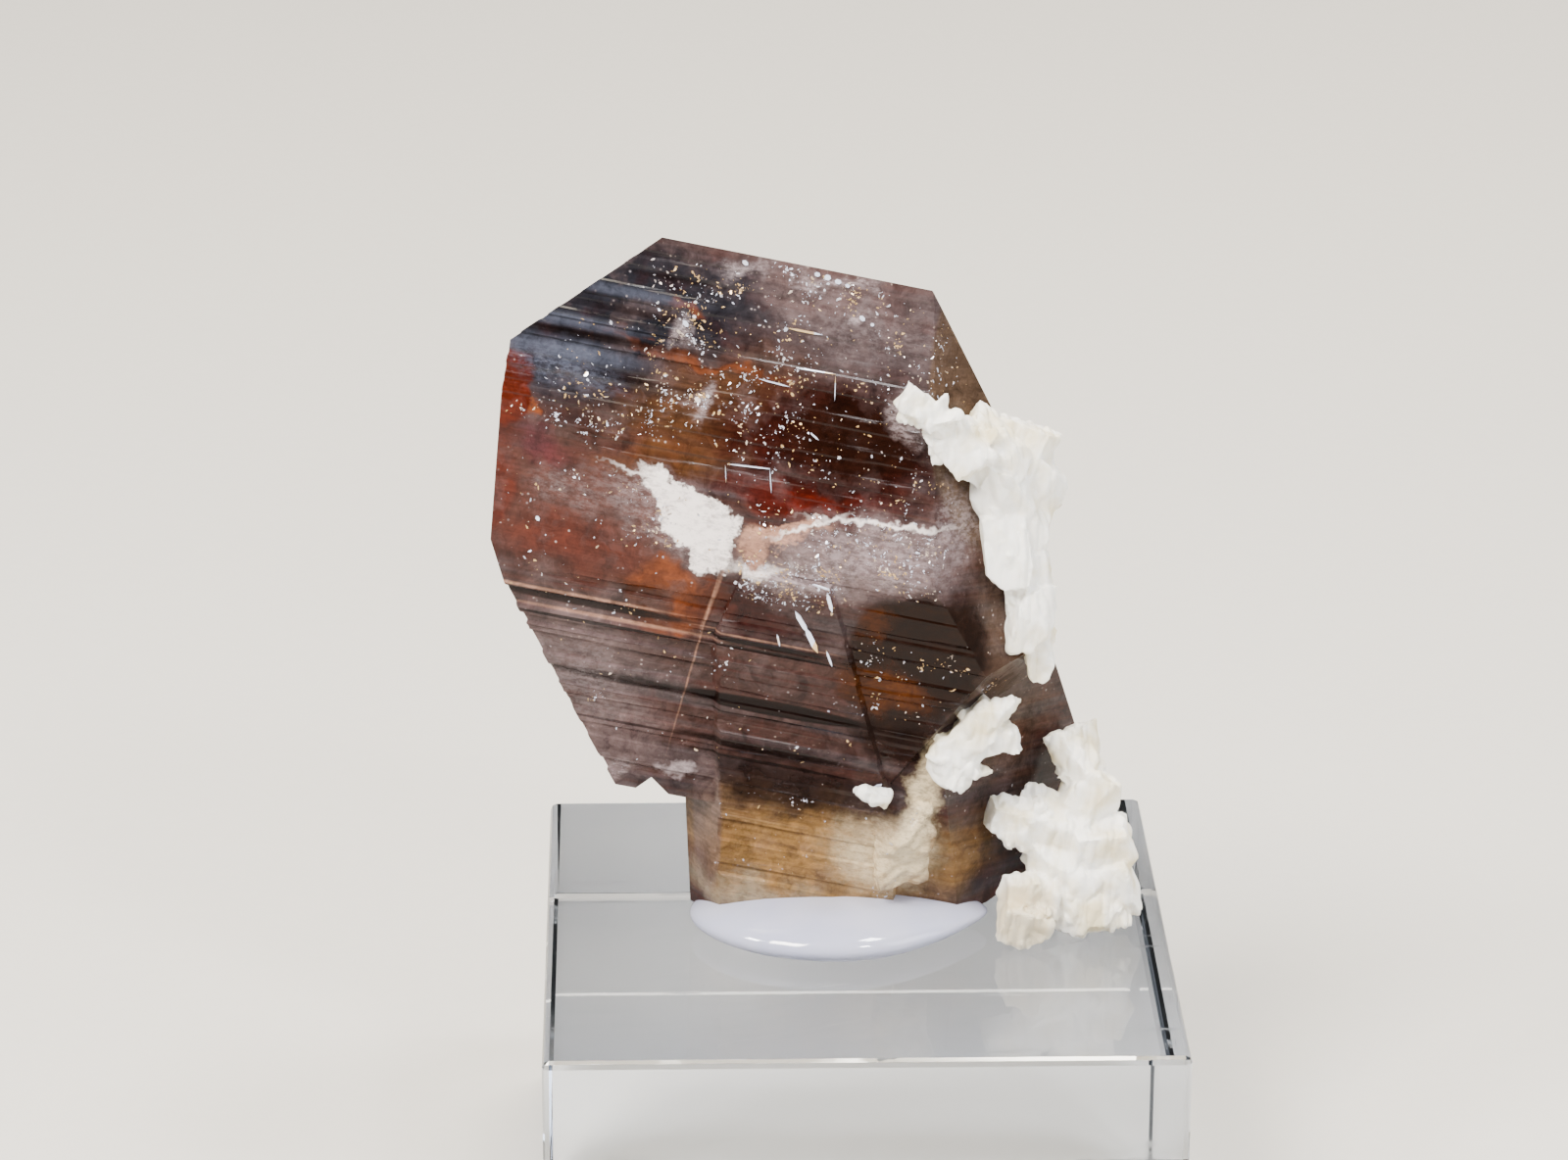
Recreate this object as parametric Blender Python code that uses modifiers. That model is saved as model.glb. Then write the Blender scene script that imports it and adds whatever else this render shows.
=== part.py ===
"""Ferroaxinite crystals with white feldspar, held by a bead of clear gel on a square acrylic block.

Blender 4.5, metres, +Z up. The origin is the centre of the block's underside, +X is to the right and
the broad crystal faces look along -Y. Dimensions below are in millimetres and degrees.

Each crystal is described as a mineralogist would: by its faces. A face is (azimuth, elevation,
distance). Azimuth 0 looks to the front and 90 to the right, elevation is up from level, and distance
is how far the face stands from the crystal's centre. Faces that share one direction, the zone, make an
outline that is carried along that direction, with growth ledges cut into it as narrow terraces.
"""

import math
import random

import bmesh
import bpy
from mathutils import Euler, Matrix, Vector

MM = 0.001
GAP = 0.3
LEDGE_DEPTH = 0.22
OBJECT_NAME = "ferroaxinite_on_display_block"

BLOCK_SIDE = 32.0
BLOCK_HEIGHT = 16.0
BLOCK_EDGE = 0.35

# The zone runs down to the right, and all striations lie along it.
ZONE_TILT = 12.0
CRYSTAL_CENTRE = (-5.0, 0.0, BLOCK_HEIGHT + 19.0)
BLOCK_TOP = (0.0, 0.0, BLOCK_HEIGHT)
ZONE_HALF_LENGTH = 30.0

# Zone faces of the large wedge: (turn about the zone, distance, number of ledges).
# A turn of 0 looks to the front, 90 is up and 180 is the back.
WEDGE_ZONE = (
    (-12, 4.65, 9),
    (18, 6.3, 10),
    (120, 14.4, 3),
    (154, 8.8, 6),
    (190, 8.6, 8),
    (260, 10.75, 2),
)
WEDGE_ENDS = {
    "left_front": (-4.1, 3.7, 5.38),
    "left": (-107, -8, 11.8),
    "left_low": (-122.5, -27, 7.87),
    "top_left": (-124, 35, 15.25),
    "right_front": (41, 21, 10.0),
    "right_back": (117, 37, 13.55),
    "right_side": (106, 21, 12.8),
    "right_low": (55, -26, 11.35),
}

# The stem is a second crystal grown through the wedge. It stands just proud of the lower front face.
STEM_ZONE = (
    (-12, 5.0, 9),
    (60, 4.9, 0),
    (135, 8.0, 0),
    (188, 6.5, 4),
    (270, 21.0, 0),
)
STEM_ENDS = {
    "left_bevel": (-50.4, -16.7, 4.66),
    "left": (-104.3, -11.6, 3.6),
    "upper_left": (-80, 6.5, 2.66),
    "right_front": (55, 15.5, 6.0),
    "right": (75, 11.5, 7.1),
    "foot": (90, -78, 17.9),
}

# The rear crystal stands upright behind the stem. Its faces are measured from the block's top.
REAR_FACES = {
    "front": (0, -12, 0.75),
    "front_right": (45, -4, 4.3),
    "right": (104, 21, 14.7),
    "back": (172, 3, 8.4),
    "left": (-95, 2, 3.0),
    "top": (30, 62, 16.2),
    "foot": (0, -90, -0.9),
    "lifted_foot": (90, -72, 1.25),
}

# Lumps and blades: (x, y, z) from the block's top centre, (width, depth, height), turn about Y.
FROSTED_LOBE = (
    ((1.5, -1.6, 7.1), (3.2, 3.0, 3.6), 35),
    ((2.3, -1.9, 5.8), (2.6, 2.8, 3.2), 10),
    ((1.9, -1.4, 4.4), (2.8, 2.8, 2.6), -5),
)
UPPER_FELDSPAR = (
    ((3.2, -4.6, 29.6), (3.4, 1.3, 1.3), 40),
    ((4.8, -3.8, 27.8), (3.4, 2.0, 2.2), 50),
    ((6.4, -2.3, 26.8), (3.6, 2.8, 2.8), 35),
    ((8.0, -0.6, 26.2), (3.2, 3.4, 2.8), 20),
    ((8.8, -0.4, 24.4), (2.6, 3.8, 3.2), -25),
    ((6.9, -2.3, 24.6), (3.0, 2.6, 3.8), 15),
    ((8.3, -1.0, 22.2), (2.4, 3.6, 3.6), 10),
    ((7.2, -2.8, 21.8), (2.4, 2.2, 3.8), -8),
    ((8.4, -1.8, 19.8), (2.4, 3.2, 3.4), -12),
    ((8.4, -2.6, 18.0), (2.2, 2.8, 3.4), 8),
    ((9.0, -1.6, 16.2), (1.4, 2.8, 3.0), -6),
)
LOWER_FELDSPAR = (
    ((11.4, 1.4, 8.6), (2.2, 3.2, 3.2), -25),
    ((11.9, 0.6, 6.7), (3.2, 3.6, 3.2), 20),
    ((10.0, -0.2, 5.6), (4.4, 3.0, 2.6), 30),
    ((8.4, -0.8, 6.0), (3.4, 2.2, 1.8), 12),
    ((12.4, 0.0, 4.4), (3.4, 4.2, 3.4), 0),
    ((10.6, -1.0, 3.6), (3.8, 3.2, 2.8), 40),
    ((13.0, -0.6, 2.5), (2.6, 3.6, 3.2), -15),
    ((11.6, -1.6, 1.9), (3.6, 3.0, 2.4), 25),
    ((13.1, -1.4, 1.3), (2.0, 2.4, 1.6), 10),
    ((8.6, -2.2, 2.4), (2.4, 2.2, 2.6), -20),
    ((8.5, -2.6, 1.4), (2.6, 2.4, 2.0), 15),
    ((9.5, -1.7, 2.4), (2.0, 2.4, 2.4), 0),
)
FELDSPAR_WEDGE = (
    ((6.4, -3.0, 12.8), (3.6, 1.5, 1.2), -38),
    ((5.5, -2.9, 11.7), (4.2, 1.8, 1.9), -48),
    ((6.7, -2.8, 11.6), (2.8, 1.5, 1.4), -15),
    ((4.6, -3.0, 10.7), (2.8, 1.8, 2.2), -55),
    ((5.3, -3.1, 10.2), (2.6, 1.6, 1.4), -62),
)
FELDSPAR_CHIP = (((0.7, -4.0, 9.0), (1.9, 1.2, 0.9), 25),)
LUMP_CHOPS = 7

# The gel is a low cushion with a rounded rim, drawn out to a thin tail on the right.
GEL_CENTRE = (-0.9, -0.5, 0.85)
GEL_HALF = (7.7, 4.9, 1.55)
GEL_TAIL_NARROWING = 0.45
GEL_SEGMENTS = 40
GEL_RINGS = 14


def clear_scene():
    for obj in list(bpy.data.objects):
        bpy.data.objects.remove(obj, do_unlink=True)


def new_collection(name):
    collection = bpy.data.collections.new(name)
    bpy.context.scene.collection.children.link(collection)
    return collection


def principled(name, colour, roughness, alpha=1.0):
    """A Principled material with one linear colour."""
    material = bpy.data.materials.new(name)
    material.use_nodes = True
    shader = material.node_tree.nodes["Principled BSDF"]
    shader.inputs["Base Color"].default_value = (*colour, 1.0)
    shader.inputs["Roughness"].default_value = roughness
    shader.inputs["Metallic"].default_value = 0.0
    shader.inputs["Alpha"].default_value = alpha
    return material


def direction(azimuth, elevation):
    """Unit vector for a face that looks to azimuth and elevation."""
    turn = math.radians(azimuth)
    rise = math.radians(elevation)
    return Vector((math.sin(turn) * math.cos(rise), -math.cos(turn) * math.cos(rise), math.sin(rise)))


def crystal_frame():
    """Crystal axes to world: local X is the zone, turned down to the right about world Y."""
    turn = Matrix.Rotation(math.radians(ZONE_TILT), 4, "Y")
    return Matrix.Translation(Vector(CRYSTAL_CENTRE) * MM) @ turn


def upright_frame():
    return Matrix.Translation(Vector(BLOCK_TOP) * MM)


def cut_with_faces(mesh, faces, grow=0.0):
    """Cuts a closed mesh in mm down to the inside of every face, each pushed out by grow."""
    for azimuth, elevation, distance in faces:
        normal = direction(azimuth, elevation)
        cut = bmesh.ops.bisect_plane(
            mesh,
            geom=mesh.verts[:] + mesh.edges[:] + mesh.faces[:],
            dist=1e-5,
            plane_co=normal * (distance + grow),
            plane_no=normal,
            clear_outer=True,
        )
        rim = [item for item in cut["geom_cut"] if isinstance(item, bmesh.types.BMEdge)]
        if rim:
            bmesh.ops.edgeloop_fill(mesh, edges=rim)
    bmesh.ops.recalc_face_normals(mesh, faces=mesh.faces[:])


def object_from_bmesh(mesh, name, collection, frame):
    """Puts a bmesh in mm into the world, in metres, as a new object."""
    bmesh.ops.transform(mesh, matrix=frame @ Matrix.Scale(MM, 4), verts=mesh.verts[:])
    data = bpy.data.meshes.new(name)
    mesh.to_mesh(data)
    mesh.free()
    obj = bpy.data.objects.new(name, data)
    collection.objects.link(obj)
    return obj


def hide_tool(obj):
    obj.hide_render = True
    obj.display_type = "WIRE"


def zone_corners(zone):
    """Corners of the zone outline: where each face meets the next one, as (depth, height)."""
    corners = []
    for (turn_a, distance_a, _), (turn_b, distance_b, _) in zip(zone, zone[1:] + zone[:1]):
        a = Vector((-math.cos(math.radians(turn_a)), math.sin(math.radians(turn_a))))
        b = Vector((-math.cos(math.radians(turn_b)), math.sin(math.radians(turn_b))))
        area = a.x * b.y - a.y * b.x
        depth = (distance_a * b.y - distance_b * a.y) / area
        height = (a.x * distance_b - b.x * distance_a) / area
        corners.append(Vector((depth, height)))
    return corners


def zone_outline(zone, seed):
    """The zone outline with ledges: strips of uneven width that step in and out along each face."""
    rng = random.Random(seed)
    corners = zone_corners(zone)
    points = []
    for index, (turn, _, ledges) in enumerate(zone):
        start = corners[index - 1]
        end = corners[index]
        inward = Vector((math.cos(math.radians(turn)), -math.sin(math.radians(turn))))
        points.append(start)
        if not ledges:
            continue
        widths = [rng.uniform(0.5, 1.6) for _ in range(2 * ledges + 1)]
        total = sum(widths)
        reached = 0.0
        for number, width in enumerate(widths[:-1]):
            reached += width
            place = start.lerp(end, reached / total)
            sunk = inward * (LEDGE_DEPTH * rng.uniform(0.35, 1.0))
            # Each sunk strip opens at an even step and closes at the next odd one.
            if number % 2 == 0:
                points.extend((place, place + sunk))
                depth = sunk
            else:
                points.extend((place + depth, place))
    return points


def zone_body(outline):
    """The outline as a filled flat curve, carried along the zone, as a closed bmesh in mm."""
    curve = bpy.data.curves.new("zone_outline", "CURVE")
    curve.dimensions = "2D"
    curve.fill_mode = "BOTH"
    curve.extrude = ZONE_HALF_LENGTH
    spline = curve.splines.new("POLY")
    spline.points.add(len(outline) - 1)
    for point, place in zip(spline.points, outline):
        point.co = (place.x, place.y, 0.0, 1.0)
    spline.use_cyclic_u = True
    holder = bpy.data.objects.new("zone_outline", curve)
    bpy.context.scene.collection.objects.link(holder)
    bpy.context.view_layer.update()
    evaluated = holder.evaluated_get(bpy.context.evaluated_depsgraph_get())
    data = bpy.data.meshes.new_from_object(evaluated)
    mesh = bmesh.new()
    mesh.from_mesh(data)
    bpy.data.objects.remove(holder, do_unlink=True)
    bpy.data.meshes.remove(data)
    bmesh.ops.remove_doubles(mesh, verts=mesh.verts[:], dist=1e-4)
    bmesh.ops.dissolve_limit(mesh, angle_limit=0.001, verts=mesh.verts[:], edges=mesh.edges[:])
    # Curve X is depth, curve Y is height and the extrusion is the zone.
    axes = Matrix(((0, 0, 1, 0), (1, 0, 0, 0), (0, 1, 0, 0), (0, 0, 0, 1)))
    bmesh.ops.transform(mesh, matrix=axes, verts=mesh.verts[:])
    bmesh.ops.recalc_face_normals(mesh, faces=mesh.faces[:])
    return mesh


def zoned_crystal(name, zone, ends, seed, collection):
    """A crystal with ledges: its zone outline carried along the zone and cut by its end faces."""
    mesh = zone_body(zone_outline(zone, seed))
    cut_with_faces(mesh, ends.values())
    return object_from_bmesh(mesh, name, collection, crystal_frame())


def plain_crystal(name, faces, frame, collection, grow=0.0):
    """A crystal without ledges: a cube cut by its faces. With grow it is a tool for clearance."""
    mesh = bmesh.new()
    bmesh.ops.create_cube(mesh, size=4 * ZONE_HALF_LENGTH)
    cut_with_faces(mesh, faces, grow)
    return object_from_bmesh(mesh, name, collection, frame)


def zone_as_faces(zone):
    return [(0, turn, distance) for turn, distance, _ in zone]


def lump(name, place, size, turn, seed, collection):
    """A broken lump: a cube chopped by seeded planes into uneven flat facets, then stretched."""
    rng = random.Random(seed)
    mesh = bmesh.new()
    bmesh.ops.create_cube(mesh, size=2.0)
    chops = []
    for _ in range(LUMP_CHOPS):
        chops.append((rng.uniform(-180, 180), rng.uniform(-60, 60), rng.uniform(0.85, 1.1)))
    cut_with_faces(mesh, chops)
    stretch = Matrix.Diagonal((size[0] / 2, size[1] / 2, size[2] / 2, 1.0))
    tumble = Euler((rng.uniform(-0.3, 0.3), math.radians(turn), rng.uniform(-0.35, 0.35))).to_matrix()
    spot = Matrix.Translation(Vector(place))
    bmesh.ops.transform(mesh, matrix=spot @ tumble.to_4x4() @ stretch, verts=mesh.verts[:])
    return object_from_bmesh(mesh, name, collection, upright_frame())


def lumps(name, table, seed, collection):
    made = []
    for number, (place, size, turn) in enumerate(table):
        made.append(lump(f"{name}_{number}", place, size, turn, seed + number, collection))
    return made


def boolean(obj, tool, operation):
    modifier = obj.modifiers.new(f"{operation.lower()}_{tool.name}", "BOOLEAN")
    modifier.operation = operation
    modifier.solver = "EXACT"
    modifier.object = tool


def finish_as(obj, name, collection, material):
    """Gives a solid its node name, its place in the part's collection and its material."""
    obj.name = name
    obj.data.name = name
    for owner in list(obj.users_collection):
        owner.objects.unlink(obj)
    collection.objects.link(obj)
    obj.data.materials.clear()
    obj.data.materials.append(material)
    return obj


def clearance_tools(collection):
    """The three crystals and the block's top, each grown by the gap."""
    tools = [
        plain_crystal(
            "wedge_clearance",
            zone_as_faces(WEDGE_ZONE) + list(WEDGE_ENDS.values()),
            crystal_frame(),
            collection,
            GAP,
        ),
        plain_crystal(
            "stem_clearance",
            zone_as_faces(STEM_ZONE) + list(STEM_ENDS.values()),
            crystal_frame(),
            collection,
            GAP,
        ),
        plain_crystal("rear_clearance", REAR_FACES.values(), upright_frame(), collection, GAP),
    ]
    below = bmesh.new()
    bmesh.ops.create_cube(below, size=60.0)
    bmesh.ops.translate(below, verts=below.verts[:], vec=(0.0, 0.0, GAP - 30.0))
    tools.append(object_from_bmesh(below, "block_clearance", collection, upright_frame()))
    return tools


def display_block(collection, material):
    """Square block of clear acrylic with slightly eased edges."""
    mesh = bmesh.new()
    bmesh.ops.create_cube(mesh, size=1.0)
    bmesh.ops.scale(mesh, verts=mesh.verts[:], vec=(BLOCK_SIDE, BLOCK_SIDE, BLOCK_HEIGHT))
    bmesh.ops.translate(mesh, verts=mesh.verts[:], vec=(0.0, 0.0, BLOCK_HEIGHT / 2))
    block = object_from_bmesh(mesh, "display_block", collection, Matrix.Identity(4))
    bevel = block.modifiers.new("eased_edges", "BEVEL")
    bevel.width = BLOCK_EDGE * MM
    bevel.segments = 2
    return finish_as(block, "display_block", collection, material)


def mounting_gel(part, tools, material, clearances):
    """A squashed sphere, narrowed towards its right end, with the crystals' sockets cut out of it."""
    mesh = bmesh.new()
    bmesh.ops.create_uvsphere(mesh, u_segments=GEL_SEGMENTS, v_segments=GEL_RINGS, radius=1.0)
    for vert in mesh.verts:
        tail = max(0.0, vert.co.x) ** 2
        narrow = 1.0 - GEL_TAIL_NARROWING * tail
        vert.co.x = vert.co.x * GEL_HALF[0]
        vert.co.y = vert.co.y * GEL_HALF[1] * narrow
        vert.co.z = vert.co.z * GEL_HALF[2] * narrow
    bmesh.ops.translate(mesh, verts=mesh.verts[:], vec=GEL_CENTRE)
    gel = object_from_bmesh(mesh, "mounting_gel", tools, upright_frame())
    for tool in clearances:
        boolean(gel, tool, "DIFFERENCE")
    return finish_as(gel, "mounting_gel", part, material)


def axinite_crystals(part, tools, material):
    """The wedge, the stem, the rear crystal and the frosted lobe, joined where they grew together."""
    wedge = zoned_crystal("wedge", WEDGE_ZONE, WEDGE_ENDS, 11, tools)
    stem = zoned_crystal("stem", STEM_ZONE, STEM_ENDS, 23, tools)
    rear = plain_crystal("rear", REAR_FACES.values(), upright_frame(), tools)
    lobe = lumps("frosted_lobe", FROSTED_LOBE, 301, tools)
    for tool in (stem, rear, *lobe):
        boolean(wedge, tool, "UNION")
        hide_tool(tool)
    return finish_as(wedge, "axinite_crystals", part, material)


def feldspar(name, table, seed, part, tools, material, clearances):
    """One mass of feldspar: its lumps joined, then cut back to clear the crystals and the block."""
    first, *rest = lumps(name, table, seed, tools)
    for tool in rest:
        boolean(first, tool, "UNION")
        hide_tool(tool)
    for tool in clearances:
        boolean(first, tool, "DIFFERENCE")
    return finish_as(first, name, part, material)


def main():
    clear_scene()
    part = new_collection(OBJECT_NAME)
    tools = new_collection("cutters")
    acrylic = principled("clear_acrylic", (0.80, 0.84, 0.88), 0.05, 0.35)
    gel = principled("milky_gel", (0.78, 0.78, 0.86), 0.15)
    axinite = principled("brown_axinite", (0.16, 0.075, 0.05), 0.22)
    white = principled("white_feldspar", (0.88, 0.86, 0.78), 0.6)

    clearances = clearance_tools(tools)
    for tool in clearances:
        hide_tool(tool)
    display_block(part, acrylic)
    axinite_crystals(part, tools, axinite)
    mounting_gel(part, tools, gel, clearances)
    feldspar("feldspar_upper_cluster", UPPER_FELDSPAR, 401, part, tools, white, clearances)
    feldspar("feldspar_lower_cluster", LOWER_FELDSPAR, 501, part, tools, white, clearances)
    feldspar("feldspar_wedge", FELDSPAR_WEDGE, 601, part, tools, white, clearances)
    feldspar("feldspar_chip", FELDSPAR_CHIP, 701, part, tools, white, clearances)


main()
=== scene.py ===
"""Ferroaxinite crystals with feldspar on an acrylic block: the finish of every surface.

Laid out as an add-on and run as a script. Lengths in the tables are millimetres and angles degrees;
meshes are made in metres, in the frame of the model that is loaded at the top.
"""

import math
import random

import bmesh
import bpy
import numpy as np
from bpy.props import FloatProperty, FloatVectorProperty, PointerProperty
from mathutils import Euler, Matrix, Vector
from mathutils.bvhtree import BVHTree


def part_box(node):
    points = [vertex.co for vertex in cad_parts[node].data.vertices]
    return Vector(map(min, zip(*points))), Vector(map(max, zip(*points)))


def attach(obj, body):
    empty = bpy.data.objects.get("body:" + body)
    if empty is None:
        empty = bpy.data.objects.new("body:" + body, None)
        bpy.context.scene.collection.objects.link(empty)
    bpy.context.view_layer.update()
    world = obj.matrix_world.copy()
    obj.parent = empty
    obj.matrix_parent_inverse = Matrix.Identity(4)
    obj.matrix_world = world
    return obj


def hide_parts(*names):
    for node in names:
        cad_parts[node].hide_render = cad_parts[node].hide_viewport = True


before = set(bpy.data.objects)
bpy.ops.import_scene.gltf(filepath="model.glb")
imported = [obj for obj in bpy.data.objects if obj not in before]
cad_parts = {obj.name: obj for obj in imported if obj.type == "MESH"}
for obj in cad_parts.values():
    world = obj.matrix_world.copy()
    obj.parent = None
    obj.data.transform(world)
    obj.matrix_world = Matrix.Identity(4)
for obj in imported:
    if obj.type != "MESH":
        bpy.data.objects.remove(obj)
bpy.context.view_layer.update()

bl_info = {
    "name": "Axinite Specimen",
    "version": (1, 0, 0),
    "blender": (4, 5, 0),
    "location": "View3D > Sidebar > Specimen",
    "description": "Builds a ferroaxinite specimen with feldspar, gel and a clear block",
    "category": "Add Mesh",
}

MM = 0.001
_, BLOCK_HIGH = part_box("display_block")
BLOCK_TOP = BLOCK_HIGH[2] / MM

# Crystal axes: x along the zone, y from front to back, z up across the broad faces.
ZONE_TILT = 12.0
CRYSTAL_CENTRE = (-5.0, 0.0, BLOCK_TOP + 19.0)

# Zone faces: (turn about the zone, distance, ledges). 0 looks to the front, 90 up, 180 back.
WEDGE_ZONE = (
    (-12, 4.65, 9),
    (18, 6.3, 10),
    (120, 14.4, 3),
    (154, 8.8, 6),
    (190, 8.6, 8),
    (260, 10.75, 2),
)
# End faces: (azimuth, elevation, distance).
WEDGE_ENDS = (
    (-4.1, 3.7, 5.38),
    (-107, -8, 11.8),
    (-122.5, -27, 7.87),
    (-124, 35, 15.25),
    (41, 21, 10.0),
    (117, 37, 13.55),
    (106, 21, 12.8),
    (55, -26, 11.35),
)
STEM_ZONE = (
    (-12, 5.0, 9),
    (60, 4.9, 0),
    (135, 8.0, 0),
    (188, 6.5, 4),
    (270, 21.0, 0),
)
STEM_ENDS = (
    (-50.4, -16.7, 4.66),
    (-104.3, -11.6, 3.6),
    (-80, 6.5, 2.66),
    (55, 15.5, 6.0),
    (75, 11.5, 7.1),
    (90, -78, 17.9),
)
REAR_FACES = (
    (0, -12, 0.75),
    (45, -4, 4.3),
    (104, 21, 14.7),
    (172, 3, 8.4),
    (-95, 2, 3.0),
    (30, 62, 16.2),
    (0, -90, -0.9),
    (90, -72, 1.25),
)
# Cube that these faces are cut from.
RAW_CUBE = 120.0
# Reach of each zone outline along the zone, before the end faces cut it.
WEDGE_SPAN = (-19.0, 15.5)
STEM_SPAN = (-6.0, 14.0)
# Ledges: spreads of width and of depth, wander of an edge along the zone, width of its slope.
LEDGE_WIDTHS = (0.5, 1.6)
LEDGE_SINKS = (0.35, 1.0)
EDGE_WANDER = 0.1
EDGE_SLOPE = 0.06
# Striae: spread of their widths, counted in the typical width.
STRIA_WIDTHS = (0.35, 1.8)
# Ledges and striae fade out this near to an edge between two zone faces.
CORNER_CALM = 0.25
# Nick in the lowest tip: middle (x, z) in crystal axes, half diagonal, turn about y.
TIP_NICK = (-3.3, -11.5, 1.0, 38.0)
NICK_LENGTH = 20.0

# Lumps: place from the block's top centre, size, turn about Y.
FROSTED_LOBE = (
    ((1.5, -1.6, 7.1), (3.2, 3.0, 3.6), 35),
    ((2.3, -1.9, 5.8), (2.6, 2.8, 3.2), 10),
    ((1.9, -1.4, 4.4), (2.8, 2.8, 2.6), -5),
)
UPPER_FELDSPAR = (
    ((3.2, -4.6, 29.6), (3.4, 1.3, 1.3), 40),
    ((4.8, -3.8, 27.8), (3.4, 2.0, 2.2), 50),
    ((6.4, -2.3, 26.8), (3.6, 2.8, 2.8), 35),
    ((8.0, -0.6, 26.2), (3.2, 3.4, 2.8), 20),
    ((8.8, -0.4, 24.4), (2.6, 3.8, 3.2), -25),
    ((6.9, -2.3, 24.6), (3.0, 2.6, 3.8), 15),
    ((8.3, -1.0, 22.2), (2.4, 3.6, 3.6), 10),
    ((7.2, -2.8, 21.8), (2.4, 2.2, 3.8), -8),
    ((8.4, -1.8, 19.8), (2.4, 3.2, 3.4), -12),
    ((8.4, -2.6, 18.0), (2.2, 2.8, 3.4), 8),
    ((9.0, -1.6, 16.2), (1.4, 2.8, 3.0), -6),
)
LOWER_FELDSPAR = (
    ((11.4, 1.4, 8.6), (2.2, 3.2, 3.2), -25),
    ((11.9, 0.6, 6.7), (3.2, 3.6, 3.2), 20),
    ((10.0, -0.2, 5.6), (4.4, 3.0, 2.6), 30),
    ((8.4, -0.8, 6.0), (3.4, 2.2, 1.8), 12),
    ((12.4, 0.0, 4.4), (3.4, 4.2, 3.4), 0),
    ((10.6, -1.0, 3.6), (3.8, 3.2, 2.8), 40),
    ((13.0, -0.6, 2.5), (2.6, 3.6, 3.2), -15),
    ((11.6, -1.6, 1.9), (3.6, 3.0, 2.4), 25),
    ((13.1, -1.4, 1.3), (2.0, 2.4, 1.6), 10),
    ((8.6, -2.2, 2.4), (2.4, 2.2, 2.6), -20),
    ((8.5, -2.6, 1.4), (2.6, 2.4, 2.0), 15),
    ((9.5, -1.7, 2.4), (2.0, 2.4, 2.4), 0),
)
FELDSPAR_WEDGE = (
    ((6.4, -3.0, 12.8), (3.6, 1.5, 1.2), -38),
    ((5.5, -2.9, 11.7), (4.2, 1.8, 1.9), -48),
    ((6.7, -2.8, 11.6), (2.8, 1.5, 1.4), -15),
    ((4.6, -3.0, 10.7), (2.8, 1.8, 2.2), -55),
    ((5.3, -3.1, 10.2), (2.6, 1.6, 1.4), -62),
)
FELDSPAR_CHIP = (((0.7, -4.0, 9.0), (1.9, 1.2, 0.9), 25),)
# Lumps: number of planes that chop one, how far out they lie, and tumble in radians.
LUMP_CHOPS = 7
CHOP_REACH = (0.85, 1.1)
LUMP_SPREAD = 0.3
# Blades on the lumps: spreads of their three sizes, place in the lump's half size, turn, tumble.
BLADE_SPANS = ((0.3, 0.6), (0.7, 1.4), (0.9, 1.7))
BLADE_REACH = 0.36
BLADE_TURN = 35
BLADE_SPREAD = 0.5
# Feldspar pieces: (name, lumps, seed, blades on each lump, node).
FELDSPAR_MASSES = (
    ("feldspar_upper", UPPER_FELDSPAR, 401, 9, "feldspar_upper_cluster"),
    ("feldspar_lower", LOWER_FELDSPAR, 501, 9, "feldspar_lower_cluster"),
    ("feldspar_blades", FELDSPAR_WEDGE, 601, 2, "feldspar_wedge"),
    ("feldspar_speck", FELDSPAR_CHIP, 701, 0, "feldspar_chip"),
)
# Ripples of a skin: (bump width, height). Feldspar's are drawn out along z, as cleavage blades.
FELDSPAR_RIPPLES = ((0.9, 0.05), (0.6, -0.11))
FELDSPAR_GRAIN = (1.7, 0.8, 0.45)
LOBE_RIPPLES = ((1.1, 0.12), (0.4, 0.05))
# The lobe's grid is this much coarser than feldspar's.
LOBE_COARSER = 1.6
# Cream nub at the lower left of the lower feldspar.
NUB_CENTRE = (8.4, -2.9, BLOCK_TOP + 1.7)
NUB_RADIUS = 1.9

# Gel: middle above the block's top, half sizes, narrowing of its right end, waver of its skin,
# and lowest level above the block's top.
GEL_CENTRE = (-0.9, -0.5, 0.85)
GEL_HALF = (7.7, 4.9, 1.55)
GEL_TAIL_NARROWING = 0.45
GEL_WAVER = 0.015
GEL_FOOT = 0.02

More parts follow.
